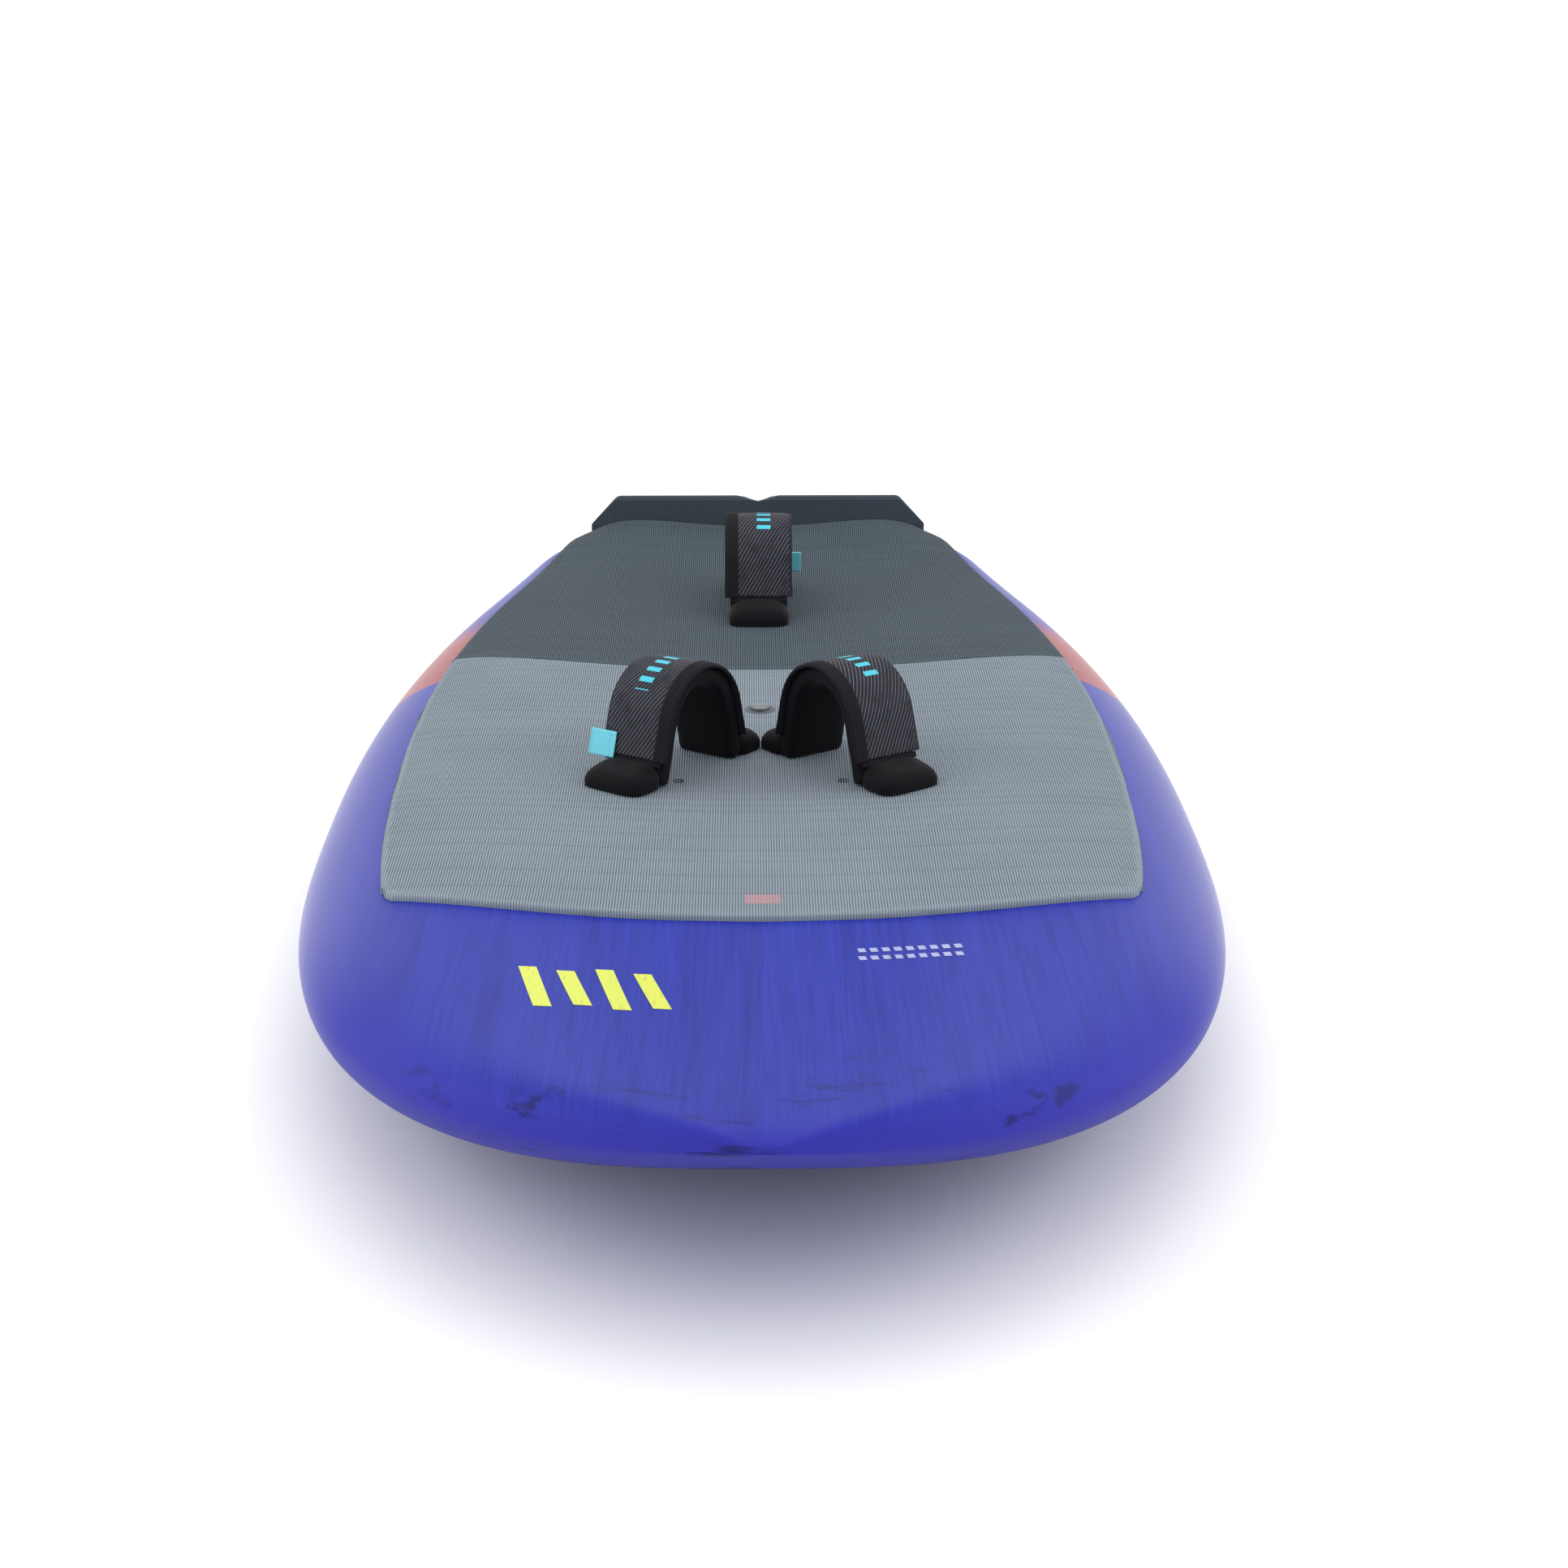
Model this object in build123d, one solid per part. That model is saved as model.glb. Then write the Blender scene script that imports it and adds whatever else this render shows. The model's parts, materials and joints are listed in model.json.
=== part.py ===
from build123d import *
import math
import os

# Wing foil board with three foot straps. Millimetres, +Z up, nose toward -Y.
# A station is the distance from the tail end, measured toward the nose.

# ---------------------------------------------------------------- hull
board_length = 1651.0
board_width = 711.0
deck_height = 119.0          # floor to the deck on the centre line
widest_station = 890.0
tail_half_width = 201.5
tail_taper_power = 2.22
tail_cut_length = 110.0      # stretch over which the tail corners are cut away
tail_cut_width = 95.0
nose_plan_power = 2.865
nose_plan_root = 1.673
apex_height = 86.0           # rail apex above the floor amidships
nose_apex_height = 140.0
tail_apex_height = 110.0
nose_apex_power = 3.2
deck_dish = 8.0              # how far the deck edges stand above its middle
nose_rise = 36.0
nose_rise_length = 501.0
kick_rise = 24.0
kick_rise_length = 180.0
nose_bottom_height = 136.0
nose_rocker_power = 3.4
tail_lift = 12.0
tail_lift_length = 290.0
deck_roundness = 8.0
bottom_roundness = 3.2
nose_roll_power = 30.0
nose_tip = 0.5               # flat at the very tip
skin = 3.0                   # sandwich laminate
bond_gap = 0.2               # resin line between laminate and foam
nose_block = 24.0            # solid laminate at the nose tip

# ---------------------------------------------------------------- deck pads
pad_thickness = 5.5
pad_nose_gap = 446.0
pad_bow = 38.0
pad_split_station = 542.0
pad_split_bow = 37.0
pad_margin_tail = 27.0
pad_margin_nose = 64.0
pad_corner_radius = 26.0
pad_joint_gap = 0.4
kick_station = 50.0
kick_height = 35.0
kick_base_width = 374.0
kick_top_width = 303.0
kick_top_length = 8.0
kick_lean = 3.0
kick_end_gap = 8.0
kick_notch_width = 46.0
kick_notch_depth = 5.0
kick_side_margin = 11.0
badge_size = (27.0, 19.0, 1.2)
badge_nose_gap = 35.0
badge_set_back = 0.3         # badge face below the pad face
badge_corner = 2.4

# ---------------------------------------------------------------- foil tracks
track_spacing = 90.0
track_length = 360.0
track_tail_station = 330.0
track_width = 25.0
track_depth = 24.0
track_end_wall = 4.0
track_set_back = 0.5         # mouth of the track above the bottom face
slot_width = 10.4
slot_depth = 5.0
channel_width = 17.6
channel_depth = 9.0
nut_length = 24.0
nut_clearance = 0.3
nut_hole_radius = 4.0        # M8
foil_hole_spacing = 165.0
block_margin = 18.0
block_height = 70.0

# ---------------------------------------------------------------- foot straps
strap_height = 93.0          # pad to the top of the cover
strap_leg_angle = 75.0
strap_foot_bend = 12.0
strap_crown_radius = 46.0
webbing_width = 40.0
webbing_thickness = 3.0
webbing_tab = 22.0
sleeve_width = 60.0
sleeve_inner = 9.0
sleeve_outer = 2.0
sleeve_foot_gap = 0.6
cover_width = 66.0
cover_thickness = 3.0
cover_end_height = 20.0
boot_length = 25.0
boot_width = 53.0
boot_height = 16.0
boot_wall = 3.0
boot_gap = 0.5
tag_size = (20.0, 22.0, 1.2)
tag_height = 26.0
front_strap_station = 848.0
front_strap_offset = 72.5
front_strap_angle = 34.5
rear_strap_station = 298.0

# ---------------------------------------------------------------- fixings
screw_radius = 3.0           # M6
screw_grip = 24.0
screw_head_radius = 6.0
screw_head_height = 3.6
screw_socket_radius = 2.1
screw_socket_depth = 2.2
screw_seat_gap = 0.12        # lets an upright head sit on a strap that leans a degree
washer_size = (30.0, 16.0, 1.6)
fit_clearance = 0.1
insert_radius = 8.0
insert_length = 32.0
insert_floor = 3.0
insert_set_back = 1.5
pad_hole_radius = 4.2
insert_block_depth = 44.0
insert_block_margin = 8.0
spare_pitch = 19.0           # between neighbouring spare inserts
spare_row_count = 3
spare_row_offset = 68.0
spare_row_start = 888.0
centre_row_start = 927.0

# ---------------------------------------------------------------- vent and leash
vent_station = 676.0
vent_flange_radius = 13.3
vent_flange_height = 4.0
vent_body_radius = 9.0
vent_body_length = 26.0
vent_hole_radius = 5.0       # M10
vent_screw_length = 12.0
vent_bore_spare = 2.0        # bore left below the screw
vent_head_radius = 8.0
vent_head_height = 2.4
vent_slot_size = (14.0, 1.5)
vent_flange_gap = 0.8        # pad kept clear of the flange
ring_section = 1.0
leash_station = 24.0
leash_cup_radius = 13.0
leash_wall = 2.5
leash_depth = 20.0
leash_set_back = 0.5         # rim of the cup below the deck
leash_pad_gap = 1.0
leash_bar_radius = 2.5
leash_bar_drop = 6.25        # bar centre below the rim

# ---------------------------------------------------------------- carry handle
handle_station = 830.0
handle_length = 150.0
handle_width = 74.0
handle_depth = 44.0
handle_wall = 3.0
handle_flange = 6.0
handle_lip = 16.0
handle_lip_height = 12.0

reach = 400.0                # longer than any height or half width that is cut
over = 1.0                   # how far a cutter runs past a face
half_length = board_length / 2


def y_at(station):
    return half_length - station


def half_width(station):
    if station >= widest_station:
        share = (station - widest_station) / (board_length - widest_station)
        return board_width / 2 * (1 - share ** nose_plan_power) ** (1 / nose_plan_root)
    share = (widest_station - station) / widest_station
    taper = (board_width / 2 - tail_half_width) * share ** tail_taper_power
    cut = tail_cut_width * max(0.0, 1 - station / tail_cut_length) ** 2
    return board_width / 2 - taper - cut


def nose_share(station):
    return max(0.0, (station - widest_station) / (board_length - widest_station))


def apex_z(station):
    tail_share = max(0.0, 1 - station / widest_station)
    nose = (nose_apex_height - apex_height) * nose_share(station) ** nose_apex_power
    return apex_height + nose + (tail_apex_height - apex_height) * tail_share ** 2


def deck_centre_z(station):
    nose = max(0.0, 1 - (board_length - station) / nose_rise_length)
    tail = max(0.0, 1 - (max(station, kick_station) - kick_station) / kick_rise_length)
    return deck_height + nose_rise * nose ** 2 + kick_rise * tail ** 2


def bottom_centre_z(station):
    tail = max(0.0, 1 - station / tail_lift_length)
    return nose_bottom_height * nose_share(station) ** nose_rocker_power + tail_lift * tail ** 2


def dish_z(share):
    return 4 * deck_dish * share ** 2 * (1 - share ** 2)


def deck_z(x, station):
    """Height of the deck at a point: a flat-topped superellipse plus the dish."""
    share = min(1.0, abs(x) / half_width(station))
    end = math.sqrt(1 - nose_share(station) ** nose_roll_power)
    crown = math.sqrt(1 - share ** deck_roundness)
    rise = deck_centre_z(station) - apex_z(station)
    return apex_z(station) + (rise * crown + dish_z(share)) * end


# Angles of the superellipse at which a section's curve is held, closer near its flat top.
section_angles = (15, 30, 45, 60, 72, 81, 87)


def section_shares(power):
    """Shares of the half width and of the height from apex to centre line."""
    pairs = []
    for angle in section_angles:
        across = math.cos(math.radians(angle)) ** (2 / power)
        up = math.sin(math.radians(angle))
        pairs.append((across, up))
    return pairs


def shared_steps(power, reference_rise):
    """Curve parameters of a section, the same at every station.

    Equal parameters keep the lofted surface light, since its sections then share their knots.
    """
    half = [(1.0, 0.0)] + section_shares(power) + [(0.0, 1.0)]
    steps = [0.0]
    for first, second in zip(half, half[1:]):
        across = (first[0] - second[0]) * board_width / 2
        up = (second[1] - first[1]) * reference_rise
        steps.append(steps[-1] + math.hypot(across, up))
    whole = steps + [2 * steps[-1] - step for step in steps[-2::-1]]
    return [step / whole[-1] for step in whole]


def arc_through(points, upward, steps):
    """Spline through the points that starts straight up or down and ends the other way."""
    speed = math.dist(points[0], points[1]) / steps[1]
    return Edge.make_spline(
        [Vector(*point) for point in points],
        tangents=[Vector(0, 0, upward * speed), Vector(0, 0, -upward * speed)],
        parameters=steps,
        scale=False,
    )


def deck_arc(station, inset, lift):
    y = y_at(station)
    end = math.sqrt(1 - nose_share(station) ** nose_roll_power)
    width = half_width(station) - inset
    base = apex_z(station)
    rise = (deck_centre_z(station) - base) * end - inset + lift
    left = [(-width, y, base)]
    right = [(width, y, base)]
    for across, up in section_shares(deck_roundness):
        z = base + rise * up + dish_z(across) * end
        left.append((-width * across, y, z))
        right.append((width * across, y, z))
    middle = [(0, y, base + rise)]
    steps = shared_steps(deck_roundness, deck_height - apex_height)
    return arc_through(left + middle + right[::-1], 1, steps)


def bottom_arc(station, inset):
    y = y_at(station)
    end = math.sqrt(1 - nose_share(station) ** nose_roll_power)
    width = half_width(station) - inset
    base = apex_z(station)
    drop = (base - bottom_centre_z(station)) * end - inset
    left = [(-width, y, base)]
    right = [(width, y, base)]
    for across, down in section_shares(bottom_roundness):
        left.append((-width * across, y, base - drop * down))
        right.append((width * across, y, base - drop * down))
    middle = [(0, y, base - drop)]
    steps = shared_steps(bottom_roundness, apex_height)
    return arc_through(right + middle + left[::-1], -1, steps)


def chord(station, inset):
    width = half_width(station) - inset
    z = apex_z(station)
    return Line((width, y_at(station), z), (-width, y_at(station), z))


def stations(tail_inset, nose_inset):
    """Stations that crowd toward the nose tip, where the outline turns fast."""
    first = tail_inset
    last = board_length - nose_inset
    tail_steps = 9
    nose_steps = 11
    values = []
    for i in range(tail_steps):
        values.append(first + (widest_station - first) * (i / tail_steps) ** 1.3)
    for i in range(nose_steps + 1):
        values.append(last - (last - widest_station) * (1 - i / nose_steps) ** 2)
    return values


def deck_half(inset=0.0, lift=0.0, nose_inset=nose_tip):
    wires = []
    for station in stations(inset, nose_inset):
        wires.append(Wire([deck_arc(station, inset, lift), chord(station, inset)]))
    return Solid.make_loft(wires)


def full_hull(inset, nose_inset):
    wires = []
    for station in stations(inset, nose_inset):
        wires.append(Wire([deck_arc(station, inset, 0.0), bottom_arc(station, inset)]))
    return Solid.make_loft(wires)


def post(x, station, radius, low, high):
    """Upright cylinder between two heights."""
    return Pos(x, y_at(station), low) * Cylinder(
        radius, high - low, align=(Align.CENTER, Align.CENTER, Align.MIN)
    )


def block(x, station, size_x, size_y, low, high):
    return Pos(x, y_at(station), low) * Box(
        size_x, size_y, high - low, align=(Align.CENTER, Align.CENTER, Align.MIN)
    )


# ---------------------------------------------------------------- pads


def pad_half_width(station):
    slope = (pad_margin_nose - pad_margin_tail) / (board_length - pad_nose_gap)
    margin = pad_margin_tail + slope * station
    tail_relief = tail_cut_width * max(0.0, 1 - station / tail_cut_length) ** 2
    return half_width(station) - margin + min(tail_relief, margin - kick_side_margin)


def bowed_edge(centre_station, bow, half):
    """Edge across the board that falls back toward the tail at its ends."""
    points = []
    for i in range(-4, 5):
        x = half * i / 4
        points.append((x, y_at(centre_station - bow * abs(i / 4) ** 3)))
    return Spline(*points)


def side_edge(tail_station, nose_station, side):
    points = []
    for i in range(7):
        station = nose_station + (tail_station - nose_station) * i / 6
        points.append((side * pad_half_width(station), y_at(station)))
    return Spline(*points)


def pad_outline(tail_station, tail_bow, nose_station, nose_bow):
    """Plan of one pad: bowed across the ends, following the rails at the sides."""
    nose_half = pad_half_width(nose_station - nose_bow)
    tail_half = pad_half_width(tail_station - tail_bow)
    nose_edge = bowed_edge(nose_station, nose_bow, nose_half)
    if tail_bow:
        tail_edge = bowed_edge(tail_station, tail_bow, tail_half)
    else:
        tail_edge = Line((-tail_half, y_at(tail_station)), (tail_half, y_at(tail_station)))
    left = side_edge(tail_station - tail_bow, nose_station - nose_bow, -1)
    right = side_edge(tail_station - tail_bow, nose_station - nose_bow, 1)
    return make_face(Wire([nose_edge, right, tail_edge, left]))


def nose_corners(face):
    return face.vertices().sort_by(Axis.Y)[:2]


def pad_blank(outline):
    """Upright prism over a pad's outline, standing below the deck everywhere."""
    return Pos(0, 0, apex_height) * extrude(outline, reach)


def front_pad_blank():
    nose_station = board_length - pad_nose_gap
    tail_station = pad_split_station + pad_joint_gap / 2
    outline = pad_outline(tail_station, pad_split_bow, nose_station, pad_bow)
    return pad_blank(fillet(nose_corners(outline), pad_corner_radius))


def rear_pad_blank():
    nose_station = pad_split_station - pad_joint_gap / 2
    return pad_blank(pad_outline(kick_station, 0.0, nose_station, pad_split_bow))


def kick_side_profile():
    low = deck_height
    base = deck_centre_z(kick_station)
    top = base + kick_height
    front = kick_station - pad_joint_gap
    points = [
        (y_at(front), low),
        (y_at(front), base + pad_thickness),
        (y_at(front - kick_lean), top - kick_lean),
        (y_at(front - 2 * kick_lean), top),
        (y_at(front - 2 * kick_lean - kick_top_length), top),
        (y_at(kick_end_gap), base + pad_thickness),
        (y_at(kick_end_gap), low),
    ]
    wire = Polyline(*[(0, y, z) for y, z in points], close=True)
    return extrude(make_face(wire), reach, dir=(1, 0, 0), both=True)


def kick_front_profile():
    low = deck_height
    base = deck_centre_z(kick_station)
    top = base + kick_height
    foot = kick_base_width / 2
    head = kick_top_width / 2
    notch = kick_notch_width / 2
    outline = Polyline(
        (-foot, low),
        (-foot, base),
        (-head, top),
        (-notch, top),
        (0, top - kick_notch_depth),
        (notch, top),
        (head, top),
        (foot, base),
        (foot, low),
        close=True,
    )
    face = make_face(outline)
    corners = [v for v in face.vertices() if v.Y > top - over and abs(v.X) > head - over]
    face = fillet(corners, kick_top_length)
    return Pos(0, half_length, 0) * Rot(90, 0, 0) * extrude(face, reach)


def kick_plan():
    points_right = []
    points_left = []
    for i in range(5):
        station = kick_end_gap + (kick_station - kick_end_gap) * i / 4
        half = half_width(station) - kick_side_margin
        points_right.append((half, y_at(station)))
        points_left.append((-half, y_at(station)))
    outline = Polyline(*points_right, *points_left[::-1], close=True)
    return Pos(0, 0, apex_height) * extrude(make_face(outline), reach)


# ---------------------------------------------------------------- foot strap


def strap_base():
    """Half spread of the tabs and length of the straight leg."""
    angle = math.radians(strap_leg_angle)
    crown_z = strap_height - cover_thickness - sleeve_outer - webbing_thickness / 2
    bends = (strap_foot_bend + strap_crown_radius) * (1 - math.cos(angle))
    leg = (crown_z - webbing_thickness / 2 - bends) / math.sin(angle)
    spread = (strap_foot_bend + strap_crown_radius) * math.sin(angle) + leg * math.cos(angle)
    return spread, leg


def strap_points(offset):
    """Left half of the arch line: tab, foot bend, leg and crown, moved outward by offset."""
    spread, leg = strap_base()
    angle = math.radians(strap_leg_angle)
    base = webbing_thickness / 2
    bend = strap_foot_bend
    crown = strap_crown_radius

    def around(centre, radius, turn):
        return (centre[0] + radius * math.cos(turn), centre[1] + radius * math.sin(turn))

    bend_centre = (-spread, base + bend)
    bend_radius = bend - offset
    down = -math.pi / 2
    leg_foot = around(bend_centre, bend, down + angle)
    leg_top = (leg_foot[0] + leg * math.cos(angle), leg_foot[1] + leg * math.sin(angle))
    crown_centre = (leg_top[0] + crown * math.sin(angle), leg_top[1] - crown * math.cos(angle))
    crown_radius = crown + offset
    up = math.pi / 2
    return {
        "tab": (-spread - webbing_tab, base + offset),
        "bend_start": around(bend_centre, bend_radius, down),
        "bend_mid": around(bend_centre, bend_radius, down + angle / 2),
        "bend_end": around(bend_centre, bend_radius, down + angle),
        "crown_start": around(crown_centre, crown_radius, up + angle),
        "crown_top": around(crown_centre, crown_radius, up),
    }


def flip(point):
    return (-point[0], point[1])


def arch_edges(offset):
    p = strap_points(offset)
    return [
        Line(p["tab"], p["bend_start"]),
        ThreePointArc(p["bend_start"], p["bend_mid"], p["bend_end"]),
        Line(p["bend_end"], p["crown_start"]),
        ThreePointArc(p["crown_start"], p["crown_top"], flip(p["crown_start"])),
        Line(flip(p["crown_start"]), flip(p["bend_end"])),
        ThreePointArc(flip(p["bend_end"]), flip(p["bend_mid"]), flip(p["bend_start"])),
        Line(flip(p["bend_start"]), flip(p["tab"])),
    ]


def arch_band(inner, outer, width):
    """Band between two offsets of the arch line, centred across its width."""
    inner_tab = strap_points(inner)["tab"]
    outer_tab = strap_points(outer)["tab"]
    ends = [Line(inner_tab, outer_tab), Line(flip(inner_tab), flip(outer_tab))]
    face = make_face(Wire(arch_edges(inner) + arch_edges(outer) + ends))
    return Rot(90, 0, 0) * extrude(face, width / 2, both=True)


def strap_zone(half_spread, low, width=reach):
    return Pos(0, 0, low) * Box(
        2 * half_spread, width, reach, align=(Align.CENTER, Align.CENTER, Align.MIN)
    )


def webbing_local():
    half = webbing_thickness / 2
    band = arch_band(-half, half, webbing_width)
    spread, _ = strap_base()
    for side in (-1, 1):
        x = side * (spread + webbing_tab / 2)
        band -= Pos(x, 0, 0) * Cylinder(screw_radius + fit_clearance, 4 * webbing_thickness)
    return band


def sleeve_local():
    half = webbing_thickness / 2
    spread, _ = strap_base()
    body = arch_band(-half - sleeve_inner, half + sleeve_outer, sleeve_width)
    room = fit_clearance
    body -= arch_band(-half - room, half + room, webbing_width + 2 * room)
    return body & strap_zone(spread - strap_foot_bend / 2, webbing_thickness + sleeve_foot_gap)


def cover_local():
    inner = webbing_thickness / 2 + sleeve_outer
    band = arch_band(inner, inner + cover_thickness, cover_width)
    return band & strap_zone(reach, cover_end_height)


def screw_spread():
    spread, _ = strap_base()
    return spread + webbing_tab / 2


def boot_local(side):
    """Neoprene toe cap over one screwed tab."""
    spread, _ = strap_base()
    centre = side * (spread + boot_gap + boot_length / 2)
    low = (Align.CENTER, Align.CENTER, Align.MIN)
    cap = Box(boot_length, boot_width, boot_height, align=low)
    uprights = cap.edges().filter_by(Axis.Z)
    cap = fillet(uprights, boot_length / 3)
    cap = fillet(cap.faces().sort_by(Axis.Z)[-1].edges(), boot_wall)
    pocket_length = boot_length - boot_wall + boot_gap
    pocket = Box(pocket_length, webbing_width + 2 * boot_gap, boot_height - boot_wall, align=low)
    cap = Pos(centre, 0, 0) * cap
    return cap - Pos(centre - side * boot_wall / 2, 0, 0) * pocket


def tag_local():
    """Folded fabric tag over the edge of the cover, low on one leg."""
    offset = webbing_thickness / 2 + sleeve_outer + cover_thickness
    p = strap_points(offset)
    foot = p["bend_end"]
    rise = (tag_height - foot[1]) / math.sin(math.radians(strap_leg_angle))
    x = foot[0] + rise * math.cos(math.radians(strap_leg_angle))
    plate = Box(*tag_size, align=(Align.CENTER, Align.CENTER, Align.MIN))
    spot = Pos(x, cover_width / 2, tag_height) * Rot(0, -strap_leg_angle, 0)
    return spot * plate


def strap_places():
    """Centre, station and turn of each strap about the vertical."""
    return {
        "front_left_strap": (-front_strap_offset, front_strap_station, 90 - front_strap_angle),
        "front_right_strap": (front_strap_offset, front_strap_station, front_strap_angle - 90),
        "rear_strap": (0.0, rear_strap_station, -90.0),
    }


strap_ends = {
    "front_left_strap": ("outer", "inner"),
    "front_right_strap": ("inner", "outer"),
    "rear_strap": ("rear", "front"),
}


def foot_spots(name):
    """Plan positions of the two strap screws."""
    x, station, turn = strap_places()[name]
    spots = []
    for side in (-1, 1):
        along = side * screw_spread()
        dx = along * math.cos(math.radians(turn))
        dy = along * math.sin(math.radians(turn))
        spots.append((x + dx, station - dy))
    return spots


def strap_frame(name):
    """Placement of a strap on the pad, tilted so that both feet rest on it."""
    x, station, turn = strap_places()[name]
    heights = [deck_z(*spot) + pad_thickness for spot in foot_spots(name)]
    tilt = math.degrees(math.atan2(heights[0] - heights[1], 2 * screw_spread()))
    middle = sum(heights) / 2
    return Pos(x, y_at(station), middle) * Rot(0, 0, turn) * Rot(0, tilt, 0)


def screw_solid(top):
    """Pan head screw with its head resting at the given height."""
    shank = Pos(0, 0, top - screw_grip) * Cylinder(
        screw_radius - fit_clearance / 2, screw_grip, align=(Align.CENTER, Align.CENTER, Align.MIN)
    )
    head = Pos(0, 0, top) * Cylinder(
        screw_head_radius, screw_head_height, align=(Align.CENTER, Align.CENTER, Align.MIN)
    )
    head = fillet(head.faces().sort_by(Axis.Z)[-1].edges(), screw_head_height / 3)
    socket = extrude(RegularPolygon(screw_socket_radius, 6), -screw_socket_depth)
    return shank + head - Pos(0, 0, top + screw_head_height) * socket


def washer_local(x):
    plate = Pos(x, 0, webbing_thickness) * Box(
        washer_size[1], washer_size[0], washer_size[2], align=(Align.CENTER, Align.CENTER, Align.MIN)
    )
    plate = fillet(plate.edges().filter_by(Axis.Z), washer_size[1] / 4)
    hole = Pos(x, 0, 0) * Cylinder(screw_radius + fit_clearance, 4 * washer_size[0])
    return plate - hole


# ---------------------------------------------------------------- inserts


def used_spots():
    spots = []
    for name in strap_places():
        spots += foot_spots(name)
    return spots


def spare_spots():
    """Unused strap positions: two outer rows and a centre row."""
    rows = [
        (-spare_row_offset, spare_row_start),
        (spare_row_offset, spare_row_start),
        (0.0, centre_row_start),
    ]
    spots = []
    for x, start in rows:
        for i in range(spare_row_count):
            spots.append((x, start + i * spare_pitch))
    return spots


def open_spare_spots():
    """The spare inserts whose holes go through the pad: the first of each outer row."""
    return [(-spare_row_offset, spare_row_start), (spare_row_offset, spare_row_start)]


def insert_solid(x, station):
    top = deck_z(x, station) - insert_set_back
    body = post(x, station, insert_radius, top - insert_length, top)
    hole = post(x, station, screw_radius, top - insert_length + insert_floor, top + over)
    return body - hole


def insert_well(x, station):
    top = deck_z(x, station) - insert_set_back
    return post(x, station, insert_radius, top - insert_length, top)


def insert_mouth(x, station):
    top = deck_z(x, station)
    return post(x, station, pad_hole_radius, top - insert_set_back - over, top + 4 * pad_thickness)


def insert_blocks():
    """Dense foam blocks under the skin: one for the front inserts, one per rear insert."""
    spots = used_spots()[:4] + spare_spots()
    left = min(x for x, _ in spots) - insert_radius - insert_block_margin
    right = -left
    tail = min(s for _, s in spots) - insert_radius - insert_block_margin
    nose = max(s for _, s in spots) + insert_radius + insert_block_margin
    top = deck_height + deck_dish + reach
    low = deck_height - insert_block_depth
    front = block(0, (tail + nose) / 2, right - left, nose - tail, low, top)
    size = 2 * (insert_radius + insert_block_margin)
    rear = []
    for x, station in used_spots()[4:]:
        base = deck_z(x, station) - insert_block_depth
        rear.append(block(x, station, size, size, base, top))
    return front, rear


# ---------------------------------------------------------------- foil tracks


def track_x(side):
    return side * track_spacing / 2


def track_centre_station():
    return track_tail_station + track_length / 2


def track_well(side):
    return block(
        track_x(side), track_centre_station(), track_width, track_length,
        track_set_back, track_set_back + track_depth,
    )


def track_solid(side):
    length = track_length - 2 * track_end_wall
    mouth = block(
        track_x(side), track_centre_station(), slot_width, length,
        track_set_back - over, track_set_back + slot_depth + over,
    )
    channel_low = track_set_back + slot_depth
    channel = block(
        track_x(side), track_centre_station(), channel_width, length,
        channel_low, channel_low + channel_depth,
    )
    return track_well(side) - mouth - channel


def nut_solid(side, station):
    low = track_set_back + slot_depth + nut_clearance
    high = track_set_back + slot_depth + channel_depth - nut_clearance
    width = channel_width - 2 * nut_clearance
    body = block(track_x(side), station, width, nut_length, low, high)
    body = fillet(body.edges().filter_by(Axis.Z), width / 6)
    return body - post(track_x(side), station, nut_hole_radius, low - over, high + over)


def mast_block():
    width = track_spacing + track_width + 2 * block_margin
    length = track_length + 2 * block_margin
    return block(0, track_centre_station(), width, length, 0, block_height)


# ---------------------------------------------------------------- carry handle


def handle_well():
    return block(0, handle_station, handle_width, handle_length, track_set_back, handle_depth)


def handle_solid():
    """Moulded cup open at the bottom, with a finger lip along one long side."""
    inside_width = handle_width - 2 * handle_wall
    inside_length = handle_length - 2 * handle_wall
    cup = handle_well()
    cup = fillet(cup.edges().filter_by(Axis.Z), handle_flange)
    ceiling = handle_depth - handle_wall
    hollow = block(0, handle_station, inside_width, inside_length, -over, ceiling)
    hollow = fillet(hollow.edges().filter_by(Axis.Z), handle_wall)
    lip_x = inside_width / 2 - handle_lip / 2
    lip = block(lip_x, handle_station, handle_lip, inside_length, track_set_back, handle_lip_height)
    return cup - (hollow - lip)


# ---------------------------------------------------------------- vent and leash


def vent_seat():
    """Height at which the flange clears the dished deck all round."""
    return deck_z(vent_flange_radius, vent_station)


def vent_stem():
    seat = vent_seat()
    return post(0, vent_station, vent_body_radius, seat - vent_body_length, seat + over)


def vent_body():
    seat = vent_seat()
    rim = seat + vent_flange_height
    flange = post(0, vent_station, vent_flange_radius, seat, rim)
    stem = post(0, vent_station, vent_body_radius, seat - vent_body_length, seat)
    bore_low = seat - vent_screw_length - vent_bore_spare
    bore = post(0, vent_station, vent_hole_radius, bore_low, rim + over)
    air_hole = post(0, vent_station, ring_section, seat - vent_body_length - over, seat)
    return flange + stem - bore - air_hole


def vent_ring():
    seat = vent_seat() + vent_flange_height
    ring = Torus(vent_hole_radius + 1.5 * ring_section, ring_section)
    return Pos(0, y_at(vent_station), seat + ring_section) * ring


def vent_screw():
    low = vent_seat() + vent_flange_height + 2 * ring_section
    high = low + vent_head_height
    shank = post(0, vent_station, vent_hole_radius - fit_clearance, low - vent_screw_length, low)
    head = post(0, vent_station, vent_head_radius, low, high)
    slot = block(0, vent_station, *vent_slot_size, low + vent_head_height / 2, high + over)
    return shank + head - slot


def leash_top():
    return deck_z(0, leash_station) - leash_set_back


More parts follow.
